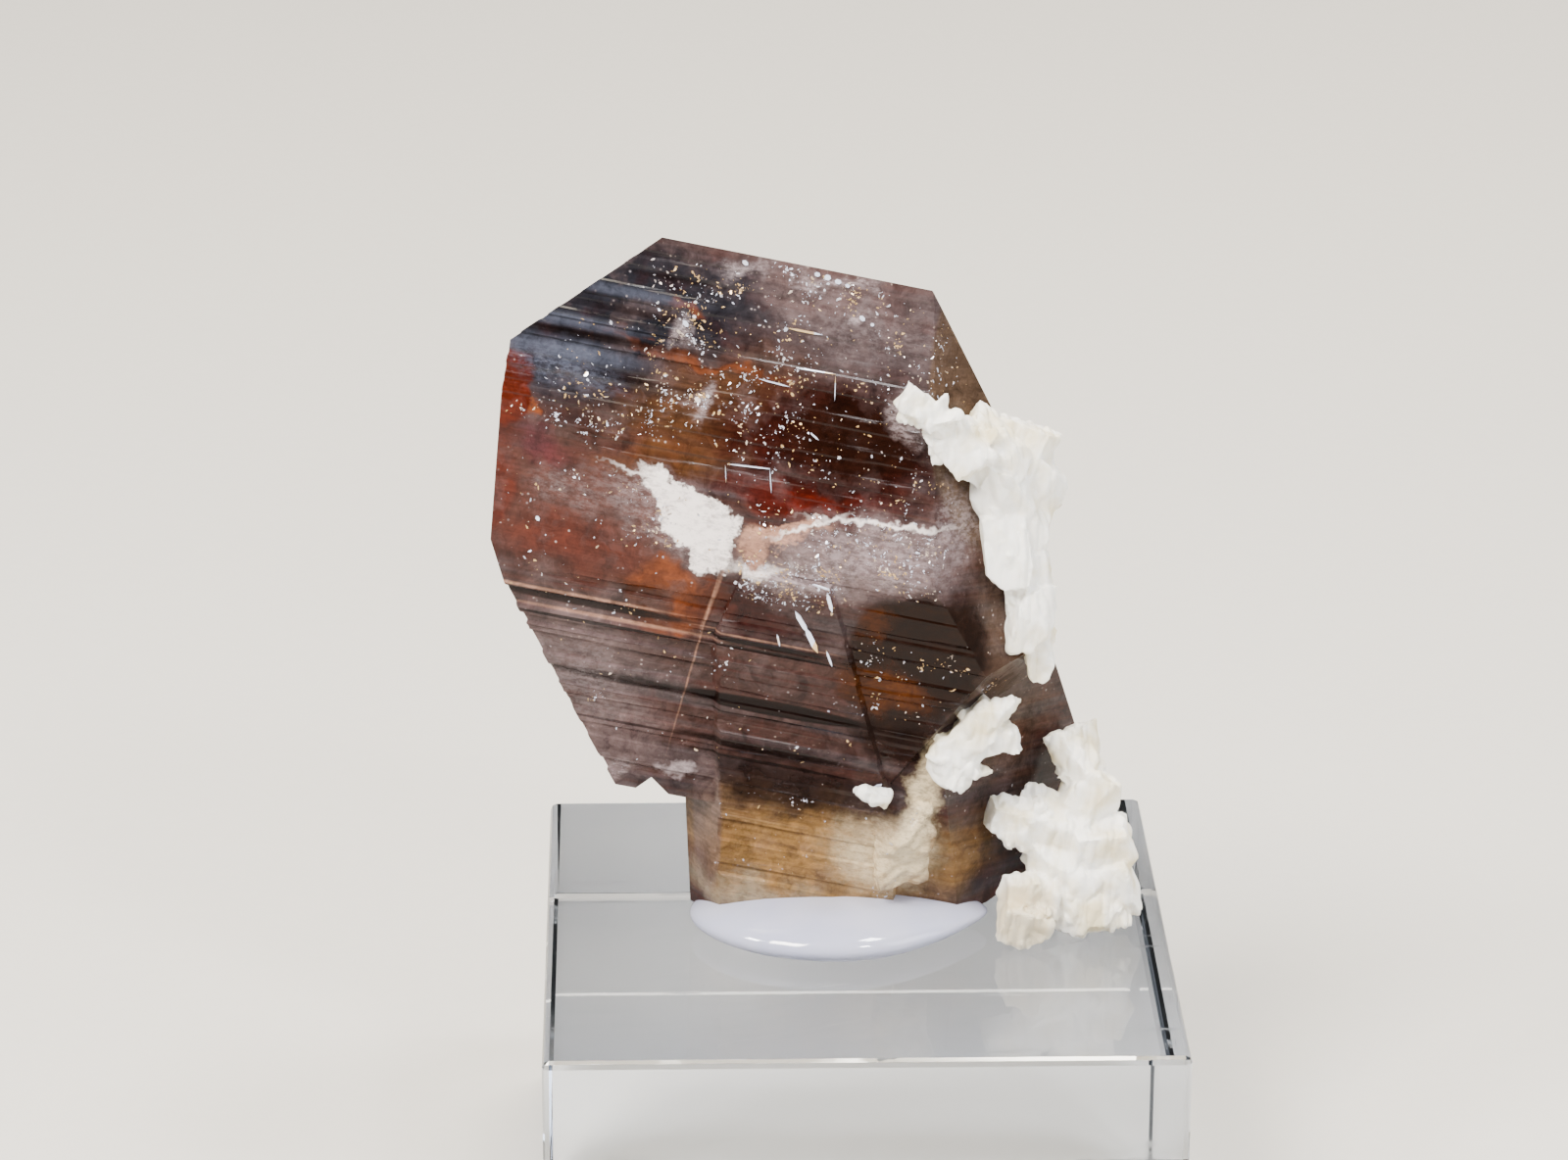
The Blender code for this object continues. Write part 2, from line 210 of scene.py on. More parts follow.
# Colour patches: (colour, x, z, half length, half height, turn, softness, strength), in crystal axes on
# the front. Their outlines are made ragged.
# The slate rows paint a cold reflection on the upper left face; the lilac grey rows low on the left paint the
# pale floor's reflection.
PATCHES = (
    ("purple_grey", 3.5, 13.0, 6.5, 4.6, -6, 0.5, 0.8),
    ("lilac_grey", -1.0, 16.2, 6.5, 1.5, 0, 0.6, 0.6),
    ("slate", -11.0, 12.0, 5.0, 3.6, 28, 0.25, 0.95),
    ("slate", -7.0, 14.8, 5.0, 2.2, 6, 0.4, 0.9),
    ("gold_brown", -4.5, 9.6, 5.2, 2.4, -14, 0.6, 0.8),
    ("orange", -5.8, 11.9, 4.6, 0.28, 4, 0.6, 0.6),
    ("orange", -6.9, 14.4, 1.1, 0.24, 4, 0.6, 0.7),
    ("deep_red", 1.4, 9.0, 5.4, 3.2, 0, 0.3, 0.97),
    ("red_glow", 0.6, 6.4, 3.4, 0.7, 0, 0.7, 0.7),
    ("rust", -14.6, 8.9, 1.2, 1.9, 20, 0.15, 0.9),
    ("pink_brown", -10.0, 3.6, 5.2, 4.0, -6, 0.35, 0.85),
    ("plum", -12.2, 6.6, 1.6, 0.9, 20, 0.7, 0.6),
    ("rust", -14.6, 3.6, 0.8, 4.0, 0, 0.6, 0.7),
    ("rust", -10.2, 1.9, 3.0, 1.1, -8, 0.8, 0.5),
    ("gold_brown", -6.4, 6.9, 3.0, 0.7, -8, 0.6, 0.8),
    ("lilac_grey", 4.6, 4.2, 5.0, 1.9, -6, 0.4, 0.9),
    ("orange", -4.9, 0.2, 2.6, 1.7, 18, 0.3, 0.85),
    ("dark_band", -6.2, -0.6, 1.4, 0.9, 0, 0.5, 0.7),
    ("lilac_grey", -9.2, -3.6, 4.2, 2.6, 0, 0.5, 0.75),
    ("lilac_grey", -5.6, -8.4, 2.6, 2.9, 0, 0.4, 0.85),
    ("clove", 1.6, -3.6, 4.8, 2.2, 0, 0.3, 0.8),
    ("deep_red", -0.4, 0.3, 2.6, 1.6, 0, 0.5, 0.8),
    ("amber", 5.8, -13.6, 6.8, 3.3, 2, 0.5, 0.9),
    ("tan", 13.6, -2.0, 2.6, 7.0, -14, 0.6, 0.6),
    ("amber", 13.0, -12.0, 2.0, 1.8, 0, 0.7, 0.5),
    ("lilac_grey", 0.8, 2.4, 3.0, 1.1, -4, 0.7, 0.55),
)
# Dark depths, laid over the drifting clouds of colour: the dark body, and painted shade that fills the hollow
# at the lower right (the rows at x 8.2).
DARK_PATCHES = (
    ("near_black", 2.8, 9.6, 3.6, 2.2, 0, 0.6, 0.8),
    ("near_black", 8.2, -1.0, 3.7, 4.3, -22, 0.2, 1.0),
    ("near_black", 8.2, -5.6, 2.2, 1.6, 30, 0.4, 0.9),
    ("amber_dark", 7.0, -2.8, 2.5, 1.0, 16, 0.5, 0.9),
    ("amber_dark", 5.6, 0.6, 0.9, 0.9, 0, 0.6, 0.6),
    ("near_black", 3.4, -9.4, 4.2, 1.7, 0, 0.5, 0.85),
)
# Bright parts, laid over the shading: the cream lobe, and painted highlights, namely glare on the healed
# fractures, light on inner edges (peach), a small orange glint and glitter haze.
BRIGHT_PATCHES = (
    ("cream", 9.0, -12.6, 2.6, 2.0, 0, 0.6, 0.8),
    ("cream", 10.3, -9.6, 1.1, 3.6, -4, 0.4, 0.95),
    ("cream", 5.6, -16.6, 5.6, 0.9, 0, 0.9, 0.35),
    ("orange", -13.2, 8.5, 0.35, 0.25, 0, 0.8, 0.8),
    ("veil_glare", -5.4, 4.5, 2.3, 1.0, 34, 0.1, 0.96),
    ("veil_glare", -3.9, 4.2, 1.5, 1.2, 8, 0.1, 0.96),
    ("veil_glare", -3.0, 3.0, 0.7, 1.3, 14, 0.15, 0.92),
    ("veil_glare", -6.8, 5.8, 1.2, 0.35, 22, 0.3, 0.85),
    ("peach", 0.1, 4.75, 1.9, 0.42, -14, 0.3, 0.55),
    ("peach", -1.2, 3.9, 0.9, 0.9, 20, 0.3, 0.5),
    ("haze", -2.4, -9.4, 0.6, 0.5, 0, 0.5, 0.6),
    ("veil_glare", -0.9, 2.9, 1.4, 0.3, -20, 0.8, 0.75),
)
# Clouds of fine fractures, broken up into grains, with painted glitter haze round the glint clusters; the
# light slate row paints a cold reflection.
HAZES = (
    ("haze", 4.8, 4.4, 3.8, 1.2, -8, 0.6, 0.36),
    ("haze", 8.6, 6.6, 1.0, 2.0, -16, 0.7, 0.35),
    ("haze", 2.0, 15.0, 3.6, 1.5, 0, 0.9, 0.12),
    ("haze", 5.1, 11.0, 1.2, 0.7, 20, 0.6, 0.5),
    ("haze", -10.6, 4.6, 1.8, 1.1, -8, 0.9, 0.14),
    ("haze", -8.2, -5.6, 2.4, 2.6, 0, 0.9, 0.15),
    ("haze", -4.3, 16.1, 1.0, 0.4, 0, 0.9, 0.45),
    ("haze", -6.8, 13.1, 0.5, 0.6, 0, 0.8, 0.6),
    ("haze", -5.2, 10.0, 0.5, 0.6, 0, 0.8, 0.6),
    ("haze", 0.2, 16.8, 1.6, 0.25, 0, 0.9, 0.6),
    ("haze", 1.8, 15.3, 0.5, 0.3, 0, 0.8, 0.6),
    ("slate_light", -12.2, 10.5, 2.6, 0.9, 10, 0.8, 0.6),
    ("haze", -5.6, 4.2, 2.7, 1.3, 26, 0.7, 0.42),
    ("haze", 1.4, 2.5, 2.0, 0.7, 0, 0.8, 0.5),
    ("haze", -5.4, -10.2, 1.3, 0.5, 0, 0.9, 0.4),
)
# Straight bands along the zone, same columns. The peach rows are painted highlights on edges, the light slate
# rows painted streaks of reflection.
BANDS = (
    ("tan", 9.9, 13.6, 4.3, 9.0, -10, 0.04, 0.9),
    ("lilac_grey", -0.1, -12.6, 0.75, 5.0, -12, 0.15, 0.55),
    ("peach", -2.75, -2.4, 0.045, 4.6, 2, 0.8, 0.4),
    ("peach", -2.6, 0.5, 0.09, 1.6, 6, 0.8, 0.5),
    ("slate_light", -12.4, 12.6, 3.4, 0.30, 0, 0.7, 0.8),
    ("dark_band", -11.0, 12.1, 4.6, 0.22, 0, 0.7, 0.8),
    ("slate_light", -12.2, 11.2, 3.4, 0.45, 0, 0.8, 0.85),
    ("dark_band", -9.0, 10.4, 4.6, 0.16, 0, 0.7, 0.6),
    ("slate_light", -9.6, 14.4, 3.0, 0.22, 0, 0.7, 0.7),
    ("dark_band", -8.0, 13.5, 3.6, 0.20, 0, 0.7, 0.7),
    ("dark_band", -7.4, 15.4, 2.4, 0.14, 0, 0.7, 0.7),
    ("peach", -10.0, -0.75, 5.0, 0.10, 0, 0.6, 0.6),
    ("dark_band", -8.4, -1.15, 5.4, 0.22, 0, 0.3, 0.85),
    ("peach", -7.0, -1.75, 4.6, 0.09, 0, 0.6, 0.55),
    ("dark_band", -7.6, -2.15, 4.8, 0.11, 0, 0.3, 0.9),
    ("dark_band", -6.4, -5.1, 3.6, 0.3, 0, 0.3, 0.85),
    ("dark_band", -5.6, -7.6, 2.9, 0.08, 0, 0.4, 0.7),
    ("dark_band", 0.6, -1.5, 3.4, 0.14, 0, 0.3, 0.9),
    ("peach", 0.4, -1.2, 3.0, 0.06, 0, 0.6, 0.5),
    ("dark_band", 1.0, -1.95, 3.8, 0.10, 0, 0.3, 0.9),
    ("dark_band", 1.8, -5.0, 4.8, 0.42, 0, 0.15, 0.98),
    ("dark_band", 2.0, -5.7, 4.6, 0.07, 0, 0.4, 0.7),
    ("dark_band", 1.9, -7.5, 4.6, 0.24, 0, 0.3, 0.9),
    ("dark_band", 2.2, -8.3, 4.2, 0.09, 0, 0.4, 0.8),
)
# Thin bright lines over everything else, same columns: painted highlights along edges.
BRIGHT_LINES = (
    ("veil_glare", 1.2, 5.2, 1.5, 0.11, -27, 0.8, 0.8),
    ("veil_glare", 4.8, 6.0, 2.7, 0.11, -4, 0.8, 0.85),
    ("veil_glare", -6.6, 6.0, 1.9, 0.10, 8, 0.8, 0.7),
)
# Middle of every patch from front to back, and its half depth.
PATCH_FRONT = -5.0
PATCH_DEPTH = 12.0

# Glint fields: (x, z, half length, half height, clusters, loose flakes), in crystal axes on the front.
GLINT_FIELDS = (
    (-1.0, 14.2, 7.5, 2.2, 26, 240),
    (-0.3, 16.6, 2.4, 0.35, 7, 30),
    (-6.0, 10.4, 6.5, 2.6, 20, 260),
    (-10.5, 8.6, 3.6, 1.2, 6, 60),
    (2.0, 10.0, 5.0, 3.4, 10, 190),
    (-5.3, 10.1, 0.6, 0.4, 6, 10),
    (-6.6, 13.3, 0.5, 0.5, 5, 8),
    (-5.6, 4.2, 3.6, 1.9, 4, 60),
    (3.2, 5.2, 4.4, 1.2, 16, 130),
    (0.8, 2.2, 2.6, 1.2, 26, 150),
    (6.6, 4.4, 1.6, 1.6, 8, 60),
    (-9.8, 2.0, 4.4, 3.8, 4, 80),
    (7.6, -2.2, 2.8, 2.2, 6, 60),
    (-6.0, -6.0, 5.5, 4.5, 3, 60),
    (2.4, -5.6, 3.8, 3.4, 2, 30),
    (5.0, -12.4, 5.0, 2.6, 3, 50),
    (13.2, -3.0, 2.0, 6.0, 3, 40),
    (7.0, 11.5, 1.4, 4.5, 2, 30),
)
# Flakes in a cluster and how far they scatter.
CLUSTER_FLAKES = 12
CLUSTER_SPREAD = 0.28
# Flakes: tip off the face, smallest size, depths under the face, width against length, thickness.
FLAKE_TILT = 0.45
FLAKE_SMALLEST = 0.022
FLAKE_DEPTHS = (-0.01, 0.02)
FLAKE_NARROWING = (0.25, 0.75)
FLAKE_THICKNESS = 0.02
# Bright slivers and hairline edges: (x, z) to (x, z), half width. Their near-white finish is a painted glint.
SLIVERS = (
    ((1.5, 0.9), (2.4, -0.3), 0.13),
    ((2.2, 0.0), (3.1, -1.2), 0.15),
    ((2.8, 2.3), (3.3, 1.2), 0.10),
    ((3.5, -1.0), (4.0, -1.9), 0.06),
    ((0.9, -0.6), (1.2, -1.3), 0.05),
    ((2.0, 2.6), (2.9, 2.3), 0.05),
    ((-0.9, 12.4), (1.1, 12.5), 0.022),
    ((1.1, 12.5), (1.3, 11.2), 0.02),
    ((-3.3, 7.4), (-1.2, 7.6), 0.022),
    ((-1.2, 7.6), (-0.9, 6.4), 0.025),
    ((-3.4, 7.4), (-3.2, 6.5), 0.018),
    ((-1.7, 14.2), (0.1, 14.2), 0.06),
    ((-2.6, 11.6), (-1.0, 11.5), 0.04),
    ((0.4, 9.6), (0.9, 9.3), 0.05),
    ((7.4, -8.9), (8.0, -8.2), 0.12),
    ((-0.9, 16.95), (-0.6, 16.9), 0.12),
    ((-0.4, 16.9), (-0.05, 16.85), 0.15),
    ((0.15, 16.8), (0.5, 16.75), 0.13),
    ((0.7, 16.7), (0.95, 16.65), 0.1),
    ((-4.5, 16.9), (-4.2, 16.7), 0.12),
    ((1.7, 15.4), (2.0, 15.2), 0.12),
    ((2.3, 15.1), (2.5, 15.1), 0.09),
    ((-6.8, 13.6), (-6.5, 13.3), 0.12),
    ((-6.4, 13.9), (-6.2, 13.8), 0.09),
    ((-5.5, 10.2), (-5.2, 10.0), 0.13),
    ((-5.0, 10.4), (-4.8, 10.3), 0.09),
    ((-12.0, 2.9), (-11.8, 2.7), 0.1),
    ((-7.2, 11.0), (-7.1, 10.8), 0.09),
)
# Lift over the face and thickness.
SLIVER_LIFT = 0.02
SLIVER_THICKNESS = 0.12
# Crystal y, well in front, from which rays look for the faces.
RAY_START = -40.0

# Camera, read from the block's corners in the photograph (image 1600 x 1184).
CAMERA_PLACE = (-10.559, -262.476, 138.470)
CAMERA_YAW = 1.480
CAMERA_PITCH = 21.485
CAMERA_ROLL = 0.174
CAMERA_LENS = 128.4
CAMERA_SENSOR = 36.0

# Lamps: (name, place and size in metres, watts, tint). The small ones give the gel its highlights.
LAMPS = (
    ("key", (-0.20, -0.30, 0.44), 0.16, 6.0, "#fff6ea"),
    ("fill", (0.42, -0.22, 0.24), 0.30, 1.2, "#eef3ff"),
    ("back", (0.08, 0.20, 0.50), 0.22, 4.0, "#fff2dc"),
    ("sparkle", (0.13, -0.26, 0.26), 0.04, 0.6, "#ffffff"),
    ("left", (-0.23, -0.14, 0.25), 0.06, 0.8, "#ffffff"),
    ("right", (0.11, -0.07, 0.34), 0.06, 0.7, "#ffffff"),
)
LAMP_TARGET = (0.0, 0.0, 0.03)
SKY_STRENGTH = 0.26
# Half side of the floor and how far it lies under the block, in mm.
FLOOR_HALF = 900.0
FLOOR_DROP = 0.2


def linear(hex_colour):
    """Linear RGBA from an sRGB hex string such as #8a5a3c."""
    channels = [int(hex_colour[i : i + 2], 16) / 255 for i in (1, 3, 5)]
    return (*[c / 12.92 if c <= 0.04045 else ((c + 0.055) / 1.055) ** 2.4 for c in channels], 1.0)


def colour_property(name, description, hex_colour):
    """A colour whose default is an sRGB hex string."""
    return FloatVectorProperty(
        name=name,
        description=description,
        subtype="COLOR",
        size=4,
        min=0.0,
        max=1.0,
        default=linear(hex_colour),
    )


def length_property(name, description, millimetres, least):
    """A length whose default and least value are given in mm; Blender keeps it in metres."""
    return FloatProperty(
        name=name,
        description=description,
        default=millimetres * MM,
        min=least * MM,
        unit="LENGTH",
    )


class SpecimenSizes(bpy.types.PropertyGroup):
    """Sizes of the fine surface."""

    ledge_depth: length_property("Ledge depth", "Depth of the broad growth ledges", 0.22, 0.0)
    stria_depth: length_property("Striation depth", "Depth of the fine striations", 0.07, 0.0)
    stria_width: length_property("Striation width", "Typical width of a fine striation", 0.3, 0.05)
    outline_step: length_property("Outline step", "Spacing of points across the striations", 0.1, 0.03)
    zone_step: length_property("Zone step", "Spacing of points along the striations", 1.0, 0.2)
    feldspar_voxel: length_property("Feldspar grain", "Grid size of the feldspar skin", 0.1, 0.05)
    glint_size: length_property("Glint size", "Radius of the largest glints", 0.13, 0.02)


class SpecimenColours(bpy.types.PropertyGroup):
    """Colours of the crystals, the feldspar, the gel and the block."""

    clove: colour_property("Clove brown", "Ground colour of the axinite", "#4a322d")
    # Slate and light slate are partly painted light: a cold grey-blue reflection over the dark upper left
    # face, and streaks of it along the striations.
    slate: colour_property("Slate", "Cold grey of the upper left face", "#202128")
    slate_light: colour_property("Light slate", "Pale streaks in the slate grey", "#585c6c")
    # Lilac grey is partly painted light: low on the left faces and the stem it stands in for the pale floor's
    # reflection; elsewhere it is pale bands and clouds.
    lilac_grey: colour_property("Lilac grey", "Pale growth bands", "#6f5c5b")
    gold_brown: colour_property("Gold brown", "Glittering part left of the heart", "#54341a")
    deep_red: colour_property("Deep red", "Clear dark heart of the wedge", "#310e08")
    red_glow: colour_property("Red glow", "Lower edge of the heart", "#5e1709")
    purple_grey: colour_property("Purple grey", "Right part of the upper face", "#4b4041")
    plum: colour_property("Plum", "Stain in the left facet", "#5b2530")
    rust: colour_property("Rust", "Left edge", "#5c1d09")
    pink_brown: colour_property("Pink brown", "Left front facet", "#57332a")
    # Peach is painted light: highlights along inner edges and thin lit lines between dark bands.
    peach: colour_property("Peach", "Bright inner edges", "#cf9a80")
    # The veil is painted glare: healed fractures made as bright as the light they reflect.
    veil_glare: colour_property("Veil", "Healed fractures", "#fdf2ee")
    # Haze is partly painted light: a glitter sheen round the glint clusters, besides the fine fractures.
    haze: colour_property("Haze", "Pale clouds of fine fractures", "#bfaeb1")
    orange: colour_property("Orange", "Thin orange area under the veil", "#7c3f1f")
    # Near black is partly painted shade: it fills the hollow at the lower right.
    near_black: colour_property("Near black", "Darkest depth", "#1f0d04")
    amber_dark: colour_property("Dark amber", "Amber in the dark hollow", "#52290b")
    amber: colour_property("Amber", "Light that comes through the base", "#a97f4a")
    cream: colour_property("Cream", "Frosted lobe", "#e3d0ab")
    tan: colour_property("Tan", "Right end face", "#5c4838")
    dark_band: colour_property("Dark band", "Dark striation bands", "#130704")
    feldspar: colour_property("Feldspar", "White feldspar", "#faf8f1")
    feldspar_stain: colour_property("Feldspar stain", "Cream and ochre edges of the feldspar", "#d8c898")
    gel: colour_property("Gel", "Milky gel", "#cfd3f2")
    acrylic: colour_property("Acrylic", "Tint of the clear block", "#f3f5fb")
    floor: colour_property("Floor", "Pale floor", "#d8d6d1")


def direction(azimuth, elevation):
    """Unit vector of a face that looks to azimuth and elevation."""
    turn, rise = math.radians(azimuth), math.radians(elevation)
    return Vector((math.sin(turn) * math.cos(rise), -math.cos(turn) * math.cos(rise), math.sin(rise)))


def crystal_frame():
    """Crystal axes to the frame, in mm."""
    return Matrix.Translation(CRYSTAL_CENTRE) @ Matrix.Rotation(math.radians(ZONE_TILT), 4, "Y")


def upright_frame():
    """Axes at the middle of the block's top to the frame, in mm."""
    return Matrix.Translation((0.0, 0.0, BLOCK_TOP))


def ripple(points, size, seed, waves=16):
    """Smooth random field, about -1 to 1: a sum of sine waves of random direction and phase.

    points is (..., 3); size is the typical width of a bump in the same unit.
    """
    rng = np.random.default_rng(seed)
    heading = rng.normal(size=(waves, 3))
    heading /= np.linalg.norm(heading, axis=1, keepdims=True)
    number = heading * (math.pi / size * rng.uniform(0.6, 1.5, (waves, 1)))
    phase = rng.uniform(0.0, 2 * math.pi, waves)
    return np.sin(points @ number.T + phase).sum(axis=-1) * math.sqrt(2.0 / waves) * 0.7


def mesh_object(name, points, faces, matrix=None):
    """A mesh object at the origin from arrays in mm; matrix takes the points to the frame."""
    points = np.asarray(points, float).reshape(-1, 3)
    if matrix is not None:
        place = np.array(matrix)
        points = points @ place[:3, :3].T + place[:3, 3]
    data = bpy.data.meshes.new(name)
    data.from_pydata((points * MM).tolist(), [], faces)
    data.update()
    obj = bpy.data.objects.new(name, data)
    bpy.context.scene.collection.objects.link(obj)
    return obj


def ring_faces(rings, around):
    """Quads between successive closed rings of points, wound so that they face outwards."""
    i, j = np.meshgrid(np.arange(rings - 1), np.arange(around), indexing="ij")
    k = (j + 1) % around
    return np.stack((i * around + j, (i + 1) * around + j, (i + 1) * around + k, i * around + k), -1)


def zone_corners(zone):
    """Corners of the zone outline: where each face meets the next one, as (y, z)."""
    turns = np.radians([face[0] for face in zone])
    distances = np.array([face[1] for face in zone])
    ny, nz = -np.cos(turns), np.sin(turns)
    my, mz, other = np.roll(ny, -1), np.roll(nz, -1), np.roll(distances, -1)
    area = ny * mz - nz * my
    return np.stack(((distances * mz - other * nz) / area, (ny * other - my * distances) / area), 1)


def broad_ledges(rng, s, u, length, ledges, depth, seed):
    """Depth of the broad ledges at (s, u): strips of uneven width that step in and out across s.

    The edges wander a little along u. The draws follow the order in which the solid's ledges are drawn.
    """
    total = np.zeros((len(s), len(u)))
    if not ledges:
        return total
    widths = [rng.uniform(*LEDGE_WIDTHS) for _ in range(2 * ledges + 1)]
    edges = np.cumsum(widths) / sum(widths) * length
    sunk = [depth * rng.uniform(*LEDGE_SINKS) for _ in range(2 * ledges)]
    along = np.stack((u, np.zeros_like(u), np.zeros_like(u)), -1)
    for pair in range(ledges):
        opened = edges[2 * pair] + EDGE_WANDER * ripple(along, 9.0, seed + 2 * pair)
        closed = edges[2 * pair + 1] + EDGE_WANDER * ripple(along, 7.0, seed + 2 * pair + 1)
        inside = np.clip((s[:, None] - opened) / EDGE_SLOPE, 0, 1)
        inside -= np.clip((s[:, None] - closed) / EDGE_SLOPE, 0, 1)
        total += sunk[2 * pair] * np.clip(inside, 0, 1)
    return total


def striated_part(u, z):
    """How strongly a part is striated: fully low on the left and at the upper left, faintly elsewhere."""
    upper_left = np.clip((-3.5 - u) / 4.0, 0, 1)[None, :] * np.clip((z - 7.5) / 2.0, 0, 1)[:, None]
    lower = np.clip((1.5 - z) / 1.5, 0, 1)[:, None] * np.clip((5.5 - u) / 2.0, 0.1, 1)[None, :]
    return 0.15 + 0.85 * np.maximum(upper_left, lower)


def fine_striae(s, u, length, depth, width, seed):
    """Depth of the fine striations: narrow strips, each at its own level, that fade along u."""
    rng = np.random.default_rng(seed)
    edges = np.cumsum(rng.uniform(*STRIA_WIDTHS, int(length / width * 1.4) + 4) * width)
    strip = np.searchsorted(edges, s)
    level = rng.uniform(0.0, 1.0, strip.max() + 2) ** 2
    points = np.stack(np.broadcast_arrays(u[None, :], edges[strip][:, None] * 4.0, 0.0), -1)
    fade = np.clip(0.62 + 0.5 * ripple(points, 7.0, seed + 1), 0.05, 1.0)
    return depth * level[strip][:, None] * fade


def in_millimetres(sizes):
    """The sizes by name, in mm, rounded to a thousandth."""
    return {name: round(getattr(sizes, name) / MM, 3) for name in sizes.__annotations__}


def zone_crystal(name, zone, ends, span, seed, sizes):
    """A striated crystal: its zone outline, sunk by ledges and striae, swept along the zone.

    Point (i, j) is outline point i at station u_j, moved inwards by depth(s_i, u_j). The two ends are
    closed with fans and then cut by the end faces.
    """
    rng = random.Random(seed)
    corners = zone_corners(zone)
    u = np.arange(span[0], span[1], sizes["zone_step"])
    rows = []
    for index, (turn, _, ledges) in enumerate(zone):
        start, end = corners[index - 1], corners[index]
        length = float(np.linalg.norm(end - start))
        s = np.linspace(0.0, length, max(int(length / sizes["outline_step"]), 2), endpoint=False)
        face_seed = seed * 100 + index * 7
        depth = broad_ledges(rng, s, u, length, ledges, sizes["ledge_depth"], face_seed)
        place = start + (s / length)[:, None] * (end - start)
        if ledges:
            part = striated_part(u, place[:, 1])
            striae = fine_striae(s, u, length, sizes["stria_depth"], sizes["stria_width"], face_seed)
            depth = depth * (0.3 + 0.7 * part) + striae * part
        depth *= np.clip(np.minimum(s, length - s) / CORNER_CALM, 0.0, 1.0)[:, None]
        inward = np.array((math.cos(math.radians(turn)), -math.sin(math.radians(turn))))
        yz = place[:, None, :] + depth[..., None] * inward
        rows.append(np.concatenate((np.broadcast_to(u[None, :, None], depth.shape + (1,)), yz), -1))
    grid = np.concatenate(rows).transpose(1, 0, 2)
    stations, around = grid.shape[:2]
    points = np.concatenate((grid.reshape(-1, 3), [[u[0], 0, 0], [u[-1], 0, 0]]))
    ring = np.arange(around)
    last = (stations - 1) * around
    first_fan = np.stack((np.full(around, stations * around), ring, np.roll(ring, -1)), 1)
    last_fan = np.stack((np.full(around, stations * around + 1), last + np.roll(ring, -1), last + ring), 1)
    quads = ring_faces(stations, around).reshape(-1, 4)
    faces = quads.tolist() + first_fan.tolist() + last_fan.tolist()
    obj = mesh_object(name, points, faces)
    cut_object(obj, ends, crystal_frame())
    return obj


def cut_bmesh(mesh, faces, grow=0.0, unit=1.0):
    """Cuts a closed mesh down to the inside of every face, each pushed out by grow."""
    for azimuth, elevation, distance in faces:
        normal = direction(azimuth, elevation)
        cut = bmesh.ops.bisect_plane(
            mesh,
            geom=mesh.verts[:] + mesh.edges[:] + mesh.faces[:],
            dist=1e-5 * unit,
            plane_co=normal * (distance + grow) * unit,
            plane_no=normal,
            clear_outer=True,
        )
        rim = [item for item in cut["geom_cut"] if isinstance(item, bmesh.types.BMEdge)]
        if rim:
            bmesh.ops.edgeloop_fill(mesh, edges=rim)


def cut_object(obj, ends, place):
    """Cuts an object whose mesh is still in crystal axes, then takes it to the frame."""
    mesh = bmesh.new()
    mesh.from_mesh(obj.data)
    cut_bmesh(mesh, ends, unit=MM)
    bmesh.ops.recalc_face_normals(mesh, faces=mesh.faces[:])
    to_metres = Matrix.Scale(MM, 4) @ place @ Matrix.Scale(1 / MM, 4)
    bmesh.ops.transform(mesh, matrix=to_metres, verts=mesh.verts[:])
    mesh.to_mesh(obj.data)
    mesh.free()


def plain_crystal(name, faces, place, grow=0.0):
    """A cube cut by crystal faces, in the frame."""
    mesh = bmesh.new()
    bmesh.ops.create_cube(mesh, size=RAW_CUBE)
    cut_bmesh(mesh, faces, grow)
    bmesh.ops.recalc_face_normals(mesh, faces=mesh.faces[:])
    bmesh.ops.transform(mesh, matrix=Matrix.Scale(MM, 4) @ place, verts=mesh.verts[:])
    return object_from(mesh, name)


def object_from(mesh, name):
    """An object at the origin from a bmesh, which is freed."""
    data = bpy.data.meshes.new(name)
    mesh.to_mesh(data)
    mesh.free()
    obj = bpy.data.objects.new(name, data)
    bpy.context.scene.collection.objects.link(obj)
    return obj


def tip_nick():
    """A square bar along y, set on its edge, that nicks the wedge's lowest tip."""
    x, z, half, turn = TIP_NICK
    side = 1.41 * half
    mesh = bmesh.new()
    bmesh.ops.create_cube(mesh, size=1.0)
    stand = Matrix.Rotation(math.radians(turn), 4, "Y") @ Matrix.Diagonal((side, NICK_LENGTH, side, 1.0))
    matrix = crystal_frame() @ Matrix.Translation((x, 0.0, z)) @ stand
    bmesh.ops.transform(mesh, matrix=Matrix.Scale(MM, 4) @ matrix, verts=mesh.verts[:])
    return object_from(mesh, "nick")


def add_lump(mass, rng, place, size, turn, spread=LUMP_SPREAD):
    """Adds one broken lump to a mesh: a cube chopped by planes, stretched, turned and placed."""
    piece = bmesh.new()
    bmesh.ops.create_cube(piece, size=2.0)
    chops = []
    for _ in range(LUMP_CHOPS):
        chops.append((rng.uniform(-180, 180), rng.uniform(-60, 60), rng.uniform(*CHOP_REACH)))
    cut_bmesh(piece, chops)
    bmesh.ops.recalc_face_normals(piece, faces=piece.faces[:])
    stretch = Matrix.Diagonal([side / 2 for side in size] + [1.0])
    lean = 1.17 * spread
    tumble = Euler((rng.uniform(-spread, spread), math.radians(turn), rng.uniform(-lean, lean)))
    matrix = upright_frame() @ Matrix.Translation(place) @ tumble.to_matrix().to_4x4() @ stretch
    bmesh.ops.transform(piece, matrix=Matrix.Scale(MM, 4) @ matrix, verts=piece.verts[:])
    part = bpy.data.meshes.new("piece")
    piece.to_mesh(part)
    piece.free()
    mass.from_mesh(part)
    bpy.data.meshes.remove(part)


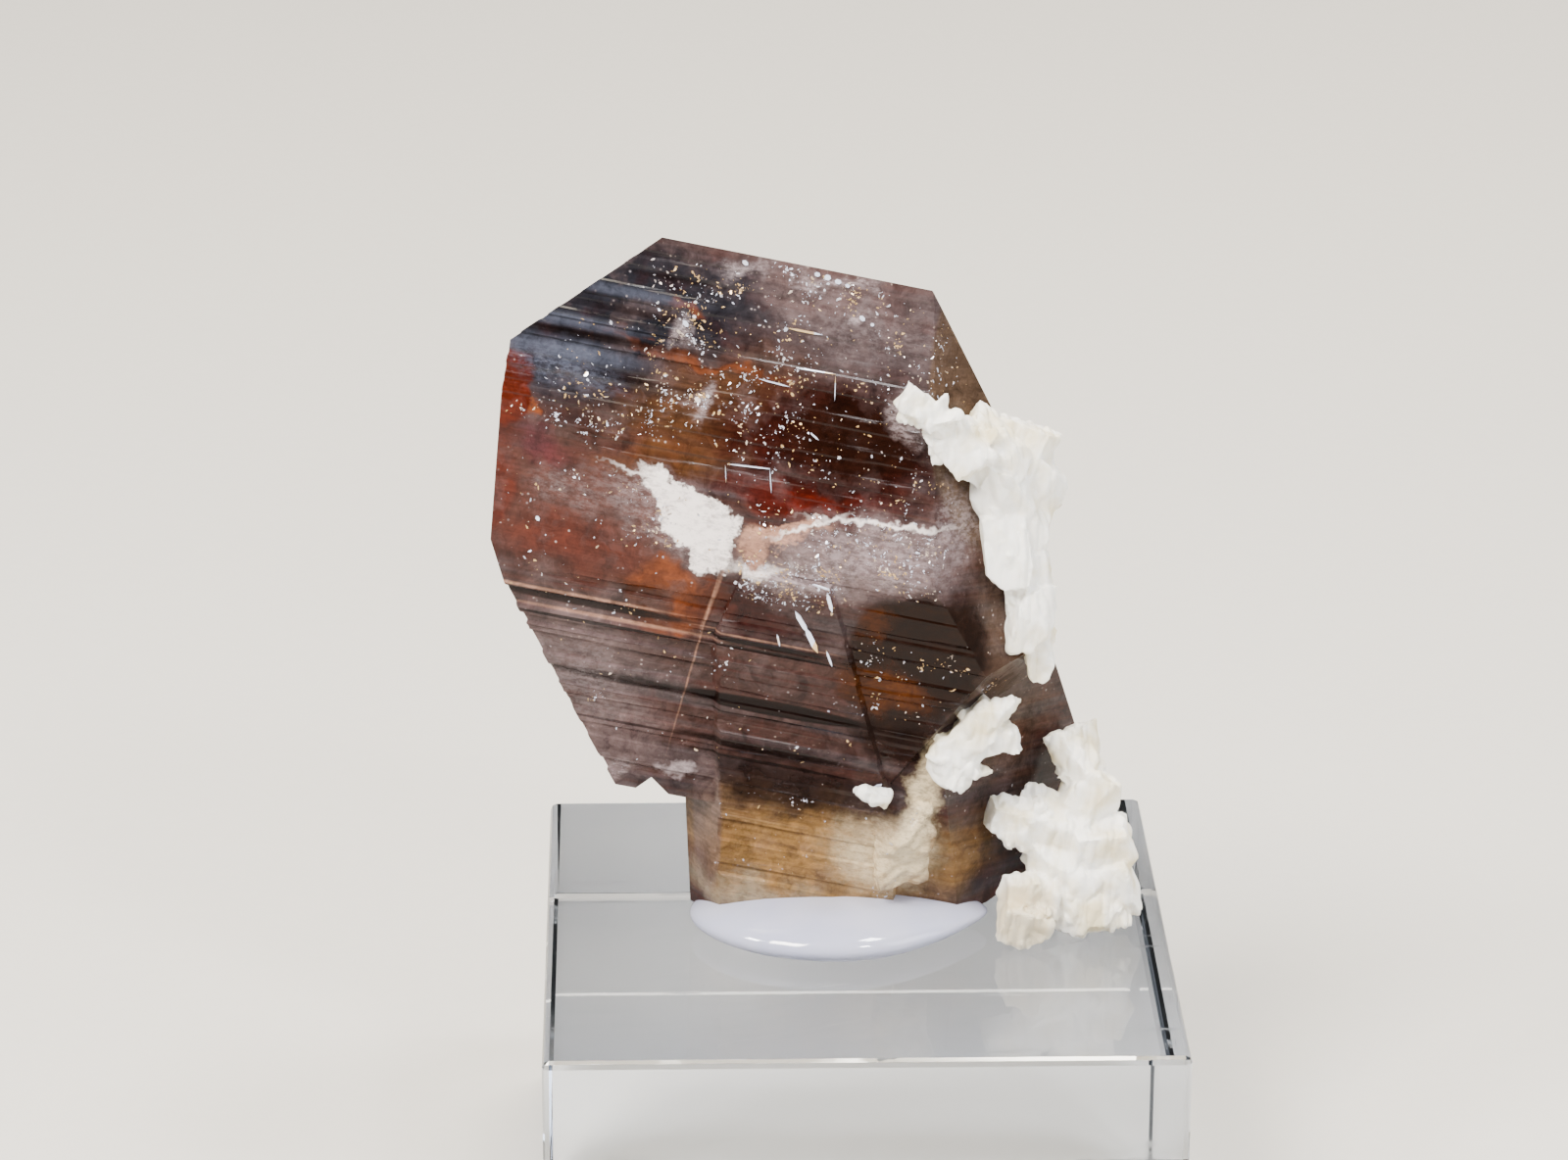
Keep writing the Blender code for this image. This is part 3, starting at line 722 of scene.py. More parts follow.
def lump_mass(name, table, seed, blades=0):
    """Broken lumps in one mesh, each with a number of small blades that stand out of its surface."""
    mass = bmesh.new()
    for number, (place, size, turn) in enumerate(table):
        add_lump(mass, random.Random(seed + number), place, size, turn)
        rng = random.Random(seed + 50 + number)
        for _ in range(blades):
            heading = direction(rng.uniform(-150, 150), rng.uniform(-70, 70))
            spot = Vector(place) + Vector([BLADE_REACH * side * part for side, part in zip(size, heading)])
            blade = [rng.uniform(*span) for span in BLADE_SPANS]
            add_lump(mass, rng, spot, blade, turn + rng.uniform(-BLADE_TURN, BLADE_TURN), BLADE_SPREAD)
    return object_from(mass, name)


def apply_modifiers(obj):
    """Replaces the mesh by what its modifiers make of it."""
    bpy.context.view_layer.update()
    data = bpy.data.meshes.new_from_object(obj.evaluated_get(bpy.context.evaluated_depsgraph_get()))
    old = obj.data
    obj.modifiers.clear()
    obj.data = data
    bpy.data.meshes.remove(old)


def boolean(obj, tool, operation):
    """Joins tool to obj, or cuts it out of obj, and keeps the result as obj's mesh."""
    modifier = obj.modifiers.new(operation, "BOOLEAN")
    modifier.operation = operation
    modifier.solver = "EXACT"
    modifier.object = tool
    apply_modifiers(obj)


def remove(*objects):
    """Deletes tools that have done their work."""
    for obj in objects:
        bpy.data.objects.remove(obj, do_unlink=True)


def fuse(obj, voxel):
    """Melts overlapping lumps into one skin on a grid of voxel mm."""
    modifier = obj.modifiers.new("fuse", "REMESH")
    modifier.mode = "VOXEL"
    modifier.voxel_size = voxel * MM
    apply_modifiers(obj)


def roughen(obj, layers, seed, grain=(1.0, 1.0, 1.0)):
    """Moves every point along its normal by a sum of ripples: (bump width, height) in mm.

    A negative height makes creases: the ripple's absolute value is used, so it folds at zero. grain
    packs the bumps closer along an axis, so that they are drawn out along the others.
    """
    data = obj.data
    count = len(data.vertices)
    points = np.empty(count * 3, np.float32)
    normals = np.empty(count * 3, np.float32)
    data.vertices.foreach_get("co", points)
    data.vertices.foreach_get("normal", normals)
    points = points.reshape(-1, 3).astype(float) / MM
    shift = np.zeros(count)
    for number, (width, height) in enumerate(layers):
        field = ripple(points * np.array(grain), width, seed + number)
        shift += height * field if height > 0 else -height * (np.abs(field) - 0.5)
    points += normals.reshape(-1, 3) * shift[:, None]
    data.vertices.foreach_set("co", (points * MM).astype(np.float32).ravel())
    data.update()


def add(tree, kind, inputs=None, **settings):
    """Adds a shader node. settings are its own values; inputs maps a socket to a value or a linked output."""
    node = tree.nodes.new("ShaderNode" + kind)
    for name, value in settings.items():
        setattr(node, name, value)
    for socket, value in (inputs or {}).items():
        if isinstance(value, bpy.types.NodeSocket):
            tree.links.new(value, node.inputs[socket])
        else:
            node.inputs[socket].default_value = value
    return node


def new_material(name):
    """An empty node material and its tree."""
    material = bpy.data.materials.new(name)
    material.use_nodes = True
    material.node_tree.nodes.clear()
    return material, material.node_tree


def end_material(tree, looks, **inside):
    """Adds the principled shader with these looks, and the output that it and any Volume run into."""
    shader = add(tree, "BsdfPrincipled", looks)
    add(tree, "OutputMaterial", {"Surface": shader.outputs[0], **inside})


def crystal_space(tree):
    """Object coordinates turned into crystal axes, in millimetres."""
    spot = add(tree, "TexCoord").outputs["Object"]
    middle = [c * MM for c in CRYSTAL_CENTRE]
    turned = {"Location": middle, "Rotation": (0.0, math.radians(ZONE_TILT), 0.0), "Scale": (MM,) * 3}
    return add(tree, "Mapping", {"Vector": spot, **turned}, vector_type="TEXTURE").outputs["Vector"]


def mixed(tree, factor, under, over):
    """Colour of over laid on under by factor."""
    node = add(tree, "Mix", {0: factor, 6: under, 7: over}, data_type="RGBA")
    return node.outputs[2]


def reach_from(tree, place, middle, turn, half_sizes):
    """Distance of place from middle, counted in half sizes, with the axes turned about y."""
    turned = {"Location": middle, "Rotation": (0.0, math.radians(turn), 0.0), "Scale": half_sizes}
    local = add(tree, "Mapping", {"Vector": place, **turned}, vector_type="TEXTURE")
    return add(tree, "VectorMath", {0: local.outputs[0]}, operation="LENGTH").outputs["Value"]


def laid_patches(tree, colour, place, colours, table, grains=None):
    """Lays the patches of a table over a colour: each is 1 inside its ellipsoid and fades over its rim.

    grains, where given, is an output that each patch is multiplied by.
    """
    for name, x, z, half_length, half_height, turn, softness, strength in table:
        middle = (x, PATCH_FRONT, z)
        reach = reach_from(tree, place, middle, turn, (half_length, PATCH_DEPTH, half_height))
        mask = add(
            tree,
            "MapRange",
            {0: reach, 1: 1 + softness, 2: 1 - softness, 3: 0.0, 4: strength},
            interpolation_type="SMOOTHSTEP",
        )
        if grains:
            mask = add(tree, "Math", {0: mask.outputs[0], 1: grains}, operation="MULTIPLY")
        colour = mixed(tree, mask.outputs[0], colour, getattr(colours, name))
    return colour


def axinite_material(colours):
    """Axinite, a grown silicate crystal with glassy striated faces: clove brown, see-through at thin edges.

    The eye gets brown depth from the absorption, growth bands along the zone, clouds of fine specks
    inside, and cold gloss on top. Painted light is laid into the colour too: the specks are painted
    glitter, with painted glare on the healed fractures, highlights on inner edges, a cold reflection on
    the upper left, the floor's reflection on the lower faces and shade in the hollow.
    """
    material, tree = new_material("axinite_crystal")
    space = crystal_space(tree)
    # Each step shakes the last one by a noise: (bumps per mm, reach in mm).
    steps = [space]
    for scale, reach in ((2.2, 0.8), (0.4, 3.2), (6.0, 0.45)):
        noise = add(tree, "TexNoise", {"Vector": space, "Scale": scale, "Detail": 2.0})
        shift = add(
            tree, "VectorMath", {0: noise.outputs["Color"], 1: (0.5, 0.5, 0.5)}, operation="SUBTRACT"
        ).outputs[0]
        shaken = add(tree, "VectorMath", {0: shift, 1: (reach,) * 3, 2: steps[-1]}, operation="MULTIPLY_ADD")
        steps.append(shaken.outputs[0])
    _, shaken, ragged, torn = steps
    stretched = add(tree, "Mapping", {"Vector": space, "Scale": (0.05, 0.2, 1.5)})
    bands = add(tree, "TexNoise", {"Vector": stretched.outputs[0], "Scale": 1.0, "Detail": 3.0})
    band_mask = add(tree, "MapRange", {0: bands.outputs["Fac"], 1: 0.42, 2: 0.6})
    colour = mixed(tree, band_mask.outputs[0], colours.clove, colours.purple_grey)
    colour = laid_patches(tree, colour, ragged, colours, PATCHES)
    drift = add(tree, "TexNoise", {"Vector": shaken, "Scale": 0.55, "Detail": 3.0})
    cool = add(tree, "MapRange", {0: drift.outputs["Fac"], 1: 0.52, 2: 0.68, 3: 0.0, 4: 0.35})
    warm = add(tree, "MapRange", {0: drift.outputs["Fac"], 1: 0.46, 2: 0.32, 3: 0.0, 4: 0.14})
    colour = mixed(tree, cool.outputs[0], colour, colours.lilac_grey)
    colour = mixed(tree, warm.outputs[0], colour, colours.rust)
    # Mottling, 0.5 to 3 mm: the colour is darker and lighter in clouds.
    mottle = add(tree, "TexNoise", {"Vector": ragged, "Scale": 0.9, "Detail": 4.0, "Roughness": 0.75})
    # Specks inside, in one of five cells of 0.25 mm, gold or white, gathered where the mottling is pale:
    # painted glitter of tiny inclusions.
    cells = add(tree, "TexVoronoi", {"Vector": space, "Scale": 4.0})
    dot = add(tree, "MapRange", {0: cells.outputs["Distance"], 1: 0.32, 2: 0.12})
    chance = add(tree, "MapRange", {0: cells.outputs["Color"], 1: 0.72, 2: 0.84})
    gather = add(tree, "MapRange", {0: mottle.outputs["Fac"], 1: 0.46, 2: 0.6, 3: 0.0, 4: 0.75})
    speck = add(tree, "Math", {0: dot.outputs[0], 1: chance.outputs[0]}, operation="MULTIPLY")
    speck = add(tree, "Math", {0: speck.outputs[0], 1: gather.outputs[0]}, operation="MULTIPLY")
    tint = mixed(tree, bands.outputs["Fac"], linear("#c9a06a"), linear("#c7c9e0"))
    colour = mixed(tree, speck.outputs[0], colour, tint)
    colour = laid_patches(tree, colour, ragged, colours, DARK_PATCHES)
    colour = laid_patches(tree, colour, space, colours, BANDS)
    cloud = add(tree, "MapRange", {0: mottle.outputs["Fac"], 1: 0.3, 2: 0.7, 3: 0.3, 4: 1.0})
    # Fine growth lines, 0.2 to 0.5 mm apart.
    fine = add(tree, "Mapping", {"Vector": space, "Scale": (0.06, 0.3, 4.5)})
    lines = add(tree, "TexNoise", {"Vector": fine.outputs[0], "Scale": 1.0, "Detail": 2.0})
    shade = add(tree, "MapRange", {0: lines.outputs["Fac"], 1: 0.35, 2: 0.65, 3: 0.8, 4: 1.1})
    both = add(tree, "Math", {0: cloud.outputs[0], 1: shade.outputs[0]}, operation="MULTIPLY")
    colour = add(
        tree, "VectorMath", {0: colour, 1: both.outputs[0]}, operation="MULTIPLY"
    ).outputs[0]
    # Grains of the hazes, 0.1 to 0.4 mm; they also break up the bright parts with their painted glare.
    packed = add(tree, "Mapping", {"Vector": space, "Scale": (1.6, 2.0, 3.2)}).outputs[0]
    cracks = add(tree, "TexNoise", {"Vector": packed, "Scale": 1.3, "Detail": 3.0, "Roughness": 0.8})
    grains = add(tree, "MapRange", {0: cracks.outputs["Fac"], 1: 0.42, 2: 0.62, 3: 0.2, 4: 1.0})
    colour = laid_patches(tree, colour, ragged, colours, HAZES, grains.outputs[0])
    frost = add(tree, "MapRange", {0: cracks.outputs["Fac"], 1: 0.36, 2: 0.56, 3: 0.5, 4: 1.0})
    colour = laid_patches(tree, colour, torn, colours, BRIGHT_PATCHES, frost.outputs[0])
    colour = laid_patches(tree, colour, shaken, colours, BRIGHT_LINES)
    rough = add(tree, "MapRange", {0: mottle.outputs["Fac"], 1: 0.3, 2: 0.75, 3: 0.07, 4: 0.3})
    looks = {
        "Base Color": colour,
        "Roughness": rough.outputs[0],
        "IOR": 1.68,
        "Specular IOR Level": 0.03,
        "Transmission Weight": 0.12,
    }
    depth = add(tree, "VolumeAbsorption", {"Color": linear("#cc7840"), "Density": 600.0})
    end_material(tree, looks, Volume=depth.outputs[0])
    return material


def feldspar_material(colours):
    """Feldspar, broken along its cleavage: bright white, dull to pearly, with cream and ochre in noisy
    patches and a cream nub.
    """
    material, tree = new_material("feldspar_cleaved")
    spot = add(tree, "TexCoord").outputs["Object"]
    stain = add(tree, "TexNoise", {"Vector": spot, "Scale": 420.0, "Detail": 5.0})
    grain = add(tree, "TexVoronoi", {"Vector": spot, "Scale": 2400.0})
    mask = add(tree, "MapRange", {0: stain.outputs["Fac"], 1: 0.46, 2: 0.68, 3: 0.0, 4: 0.8})
    colour = mixed(tree, mask.outputs[0], colours.feldspar, colours.feldspar_stain)
    # The low nub on the left of the lower mass is cream all over.
    reach = reach_from(tree, spot, [c * MM for c in NUB_CENTRE], 0.0, (NUB_RADIUS * MM,) * 3)
    cream = add(tree, "MapRange", {0: reach, 1: 1.15, 2: 0.8, 3: 0.0, 4: 0.75})
    colour = mixed(tree, cream.outputs[0], colour, linear("#cdbd9a"))
    rough = add(tree, "MapRange", {0: stain.outputs["Fac"], 1: 0.3, 2: 0.7, 3: 0.35, 4: 0.65})
    bump = add(
        tree,
        "Bump",
        {"Height": grain.outputs["Distance"], "Strength": 0.5, "Distance": 0.08 * MM},
    )
    looks = {
        "Base Color": colour,
        "Roughness": rough.outputs[0],
        "IOR": 1.53,
        "Subsurface Weight": 0.25,
        "Subsurface Radius": (1.0, 0.9, 0.75),
        "Subsurface Scale": 0.6 * MM,
        "Normal": bump.outputs[0],
    }
    end_material(tree, looks)
    return material


def gel_material(colours):
    """Silicone gel, pressed by hand: milky, wet-looking, with a trace of cloud."""
    material, tree = new_material("milky_gel")
    spot = add(tree, "TexCoord").outputs["Object"]
    cloud = add(tree, "TexNoise", {"Vector": spot, "Scale": 260.0, "Detail": 3.0})
    tint = add(tree, "MapRange", {0: cloud.outputs["Fac"], 1: 0.3, 2: 0.7, 3: 0.0, 4: 0.5})
    colour = mixed(tree, tint.outputs[0], colours.gel, linear("#f1f1f8"))
    rough = add(tree, "MapRange", {0: cloud.outputs["Fac"], 1: 0.3, 2: 0.7, 3: 0.06, 4: 0.14})
    looks = {
        "Base Color": colour,
        "Roughness": rough.outputs[0],
        "IOR": 1.42,
        "Transmission Weight": 0.35,
        "Coat Weight": 1.0,
        "Coat Roughness": 0.03,
    }
    end_material(tree, looks)
    return material


def acrylic_material(colours):
    """Cast acrylic, sawn and polished: clear, with hair scuffs that dull small streaks of the gloss."""
    material, tree = new_material("cast_acrylic")
    spot = add(tree, "TexCoord").outputs["Object"]
    streak = add(tree, "Mapping", {"Vector": spot, "Scale": (180.0, 900.0, 500.0)})
    scuff = add(tree, "TexNoise", {"Vector": streak.outputs[0], "Scale": 1.0, "Detail": 4.0})
    rough = add(tree, "MapRange", {0: scuff.outputs["Fac"], 1: 0.6, 2: 0.75, 3: 0.015, 4: 0.22})
    dust = add(tree, "MapRange", {0: scuff.outputs["Fac"], 1: 0.5, 2: 0.8, 3: 0.0, 4: 0.3})
    colour = mixed(tree, dust.outputs[0], colours.acrylic, linear("#dfe6ea"))
    looks = {
        "Base Color": colour,
        "Roughness": rough.outputs[0],
        "IOR": 1.49,
        "Transmission Weight": 1.0,
    }
    depth = add(tree, "VolumeAbsorption", {"Color": linear("#d2e4f4"), "Density": 8.0})
    end_material(tree, looks, Volume=depth.outputs[0])
    return material


def glint_material(name, dull, gold):
    """Tiny cleavage flakes of mica-like lustre: white to blue, with gold ones as far as gold says, all
    painted glints.
    """
    material, tree = new_material(name)
    spot = add(tree, "TexCoord").outputs["Object"]
    pick = add(tree, "TexWhiteNoise", {"Vector": spot})
    cells = add(tree, "TexVoronoi", {"Vector": spot, "Scale": 1500.0})
    warm = add(tree, "MapRange", {0: cells.outputs["Color"], 1: 0.9 - 0.5 * gold, 2: 1.0 - 0.4 * gold})
    dim = add(tree, "MapRange", {0: pick.outputs["Value"], 1: 0.35, 2: 0.7, 3: dull, 4: 0.0})
    # Painted glints: near-white and gold base colours that sparkle under soft light; the dim ones are brown.
    colour = mixed(tree, warm.outputs[0], linear("#e4eaff"), linear("#e0b878"))
    colour = mixed(tree, dim.outputs[0], colour, linear("#6e5a48"))
    rough = add(tree, "MapRange", {0: pick.outputs["Value"], 1: 0.0, 2: 1.0, 3: 0.12, 4: 0.3})
    looks = {"Base Color": colour, "Roughness": rough.outputs[0], "IOR": 1.7, "Metallic": 0.3}
    end_material(tree, looks)
    return material


def floor_material(colours):
    """Matt paper backdrop with a faint tooth."""
    material, tree = new_material("paper_floor")
    spot = add(tree, "TexCoord").outputs["Object"]
    tooth = add(tree, "TexNoise", {"Vector": spot, "Scale": 900.0, "Detail": 2.0})
    tint = add(tree, "MapRange", {0: tooth.outputs["Fac"], 1: 0.3, 2: 0.7, 3: 0.0, 4: 0.08})
    colour = mixed(tree, tint.outputs[0], colours.floor, linear("#c4c2bd"))
    end_material(tree, {"Base Color": colour, "Roughness": 0.85})
    return material


def dress(obj, name, material, slot, *nodes):
    """Names a finished piece, gives it its material and ties it to the frame."""
    obj.name = name
    obj.data.name = name
    obj.data.materials.clear()
    obj.data.materials.append(material)
    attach(obj, "root")
    if nodes:
        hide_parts(*nodes)
    return obj


def on_front(obj, x, z):
    """Places on the front of a crystal mesh at (x, z) in crystal axes, with the surface normals.

    Rays start well in front of it. Points that miss the crystal are left out; the third result says
    which were kept.
    """
    tree = BVHTree.FromPolygons(
        [v.co for v in obj.data.vertices], [p.vertices for p in obj.data.polygons]
    )
    to_frame = crystal_frame()
    turn = to_frame.to_3x3()
    ahead = turn @ Vector((0.0, 1.0, 0.0))
    starts = [to_frame @ Vector((a, RAY_START, b)) * MM for a, b in zip(x, z)]
    hits = [tree.ray_cast(start, ahead) for start in starts]
    kept = np.array([hit[0] is not None for hit in hits])
    back = to_frame.inverted()
    places = np.array([back @ (hit[0] / MM) for hit in hits if hit[0]])
    normals = np.array([turn.transposed() @ hit[1] for hit in hits if hit[0]])
    return places, normals, kept


def plates(name, centres, along, across, thickness):
    """Thin closed six-sided plates, one on each centre, in one mesh.

    Corner k is centre + cos(k 60 deg) along + sin(k 60 deg) across, on two levels that lie half the
    thickness above and below.
    """
    count = len(centres)
    normal = np.cross(along, across)
    normal /= np.linalg.norm(normal, axis=1, keepdims=True)
    angle = np.arange(6) * math.pi / 3
    flat = (
        np.cos(angle)[None, :, None] * along[:, None, :]
        + np.sin(angle)[None, :, None] * across[:, None, :]
        + centres[:, None, :]
    )
    lift = 0.5 * thickness * normal[:, None, :]
    points = np.concatenate((flat - lift, flat + lift), 1)
    ring = np.arange(6)
    sides = np.stack((ring, np.roll(ring, -1), 6 + np.roll(ring, -1), 6 + ring), 1)
    base = np.arange(count)[:, None] * 12
    faces = (base[:, :, None] + sides[None]).reshape(-1, 4).tolist()
    faces += (base + ring[::-1][None]).tolist()
    faces += (base + 6 + ring[None]).tolist()
    return mesh_object(name, points, faces, crystal_frame())


def glint_flakes(crystals, largest):
    """Flakes of every glint field: loose ones evenly, the others normally spread round cluster heads.

    Each flake's normal is the face's own, tipped by a normal deviate; its size goes by the cube of an
    even deviate, so that few are large.
    """
    rng = np.random.default_rng(77)
    spots = []
    for x, z, half_length, half_height, clusters, loose in GLINT_FIELDS:
        middle, half = np.array((x, z)), np.array((half_length, half_height))
        spots.append(middle + half * rng.uniform(-1, 1, (loose, 2)))
        heads = middle + half * rng.uniform(-1, 1, (clusters, 2))
        scatter = rng.normal(0, CLUSTER_SPREAD, (clusters * CLUSTER_FLAKES, 2))
        spots.append(np.repeat(heads, CLUSTER_FLAKES, 0) + scatter)
    x, z = np.concatenate(spots).T
    centres, normals, _ = on_front(crystals, x, z)
    count = len(centres)
    facing = normals + FLAKE_TILT * rng.normal(size=(count, 3))
    along = np.cross(facing, rng.normal(size=(count, 3)))
    along /= np.linalg.norm(along, axis=1, keepdims=True)
    across = np.cross(facing, along)
    across /= np.linalg.norm(across, axis=1, keepdims=True)
    size = largest * rng.uniform(0.1, 1.0, (count, 1)) ** 3 + FLAKE_SMALLEST
    sunk = centres - normals * rng.uniform(*FLAKE_DEPTHS, (count, 1))
    narrow = rng.uniform(*FLAKE_NARROWING, (count, 1))
    return plates("flakes", sunk, along * size, across * size * narrow, FLAKE_THICKNESS)


def bright_slivers(crystals):
    """Long plates between the ends in the table, laid flat on the face at their middle."""
    table = np.array([(*start, *end, width) for start, end, width in SLIVERS])
    middle = (table[:, 0:2] + table[:, 2:4]) / 2
    centres, normals, kept = on_front(crystals, middle[:, 0], middle[:, 1])
    table = table[kept]
    along = np.stack((table[:, 2] - table[:, 0], 0 * table[:, 0], table[:, 3] - table[:, 1]), 1) / 2
    along -= normals * (along * normals).sum(1, keepdims=True)
    across = np.cross(normals, along)
    across *= table[:, 4:5] / np.linalg.norm(across, axis=1, keepdims=True)
    return plates("slivers", centres + SLIVER_LIFT * normals, along, across, SLIVER_THICKNESS)


class SPECIMEN_OT_crystals(bpy.types.Operator):
    """Wedge, stem, rear crystal and frosted lobe, striated and joined in one solid"""

    bl_idname = "specimen.crystals"
    bl_label = "Axinite Crystals"

    def execute(self, context):
        sizes = in_millimetres(context.scene.specimen_sizes)
        wedge = zone_crystal("wedge", WEDGE_ZONE, WEDGE_ENDS, WEDGE_SPAN, seed=11, sizes=sizes)
        stem = zone_crystal("stem", STEM_ZONE, STEM_ENDS, STEM_SPAN, seed=23, sizes=sizes)
        rear = plain_crystal("rear", REAR_FACES, upright_frame())
        lobe = lump_mass("lobe", FROSTED_LOBE, seed=301)
        fuse(lobe, sizes["feldspar_voxel"] * LOBE_COARSER)
        roughen(lobe, LOBE_RIPPLES, seed=5)
        nick = tip_nick()
        boolean(wedge, nick, "DIFFERENCE")
        for tool in (stem, rear, lobe):
            boolean(wedge, tool, "UNION")
        remove(nick, stem, rear, lobe)
        material = axinite_material(context.scene.specimen_colours)
        dress(wedge, "axinite_surface", material, "brown_axinite", "axinite_crystals")
        return {"FINISHED"}


class SPECIMEN_OT_glints(bpy.types.Operator):
    """Tiny cleavage flakes that glitter in the front faces, and the bright slivers"""

    bl_idname = "specimen.glints"
    bl_label = "Cleavage Glints"

    def execute(self, context):
        crystals = bpy.data.objects["axinite_surface"]
        flakes = glint_flakes(crystals, in_millimetres(context.scene.specimen_sizes)["glint_size"])
        slivers = bright_slivers(crystals)
        glitter = glint_material("cleavage_glints", dull=0.75, gold=0.9)
        shine = glint_material("bright_slivers", dull=0.0, gold=0.3)
        dress(flakes, "cleavage_glints", glitter, "white_feldspar")
        dress(slivers, "bright_slivers", shine, "white_feldspar")
        return {"FINISHED"}


class SPECIMEN_OT_feldspar(bpy.types.Operator):
    """White feldspar: two clusters, the blades in the notch and the small chip"""

    bl_idname = "specimen.feldspar"
    bl_label = "Feldspar"

    def execute(self, context):
        voxel = in_millimetres(context.scene.specimen_sizes)["feldspar_voxel"]
        material = feldspar_material(context.scene.specimen_colours)
        for name, table, seed, blades, node in FELDSPAR_MASSES:
            mass = lump_mass(name, table, seed, blades)
            fuse(mass, voxel)
            roughen(mass, FELDSPAR_RIPPLES, seed, FELDSPAR_GRAIN)
            dress(mass, name, material, "white_feldspar", node)
        return {"FINISHED"}


class SPECIMEN_OT_gel(bpy.types.Operator):
    """Milky gel that holds the crystals to the block"""

    bl_idname = "specimen.gel"
    bl_label = "Mounting Gel"

    def execute(self, context):
        rings, around = 40, 96
        up = np.linspace(-0.5, 0.5, rings) * math.pi
        turn = np.arange(around) * 2 * math.pi / around
        rise, swing = np.meshgrid(up, turn, indexing="ij")
        x, y, z = np.cos(rise) * np.cos(swing), np.cos(rise) * np.sin(swing), np.sin(rise)
        narrow = 1.0 - GEL_TAIL_NARROWING * np.maximum(0.0, x) ** 2
        waver = 1.0 + GEL_WAVER * ripple(np.stack((x, y, z), -1), size=0.8, seed=3)
        half = np.array(GEL_HALF)
        place = np.stack((x * half[0], y * half[1] * narrow, z * half[2] * narrow), -1) * waver[..., None]
        place += np.array(GEL_CENTRE)
        place[..., 2] = np.maximum(place[..., 2], GEL_FOOT)
        obj = mesh_object("gel", place, ring_faces(rings, around).reshape(-1, 4)[:, ::-1].tolist())
        mesh = bmesh.new()
        mesh.from_mesh(obj.data)
        bmesh.ops.remove_doubles(mesh, verts=mesh.verts[:], dist=1e-7)
        bmesh.ops.transform(
            mesh, matrix=Matrix.Translation((0.0, 0.0, BLOCK_TOP * MM)), verts=mesh.verts[:]
        )
        bmesh.ops.recalc_face_normals(mesh, faces=mesh.faces[:])
        mesh.to_mesh(obj.data)
        mesh.free()
        obj.data.shade_smooth()
        dress(obj, "gel_bead", gel_material(context.scene.specimen_colours), "milky_gel", "mounting_gel")
        return {"FINISHED"}


class SPECIMEN_OT_block(bpy.types.Operator):
    """Finish of the clear acrylic block"""

    bl_idname = "specimen.block"
    bl_label = "Acrylic Block"

    def execute(self, context):
        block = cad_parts["display_block"]
        material = acrylic_material(context.scene.specimen_colours)
        for slot in block.material_slots:
            slot.material = material
        return {"FINISHED"}


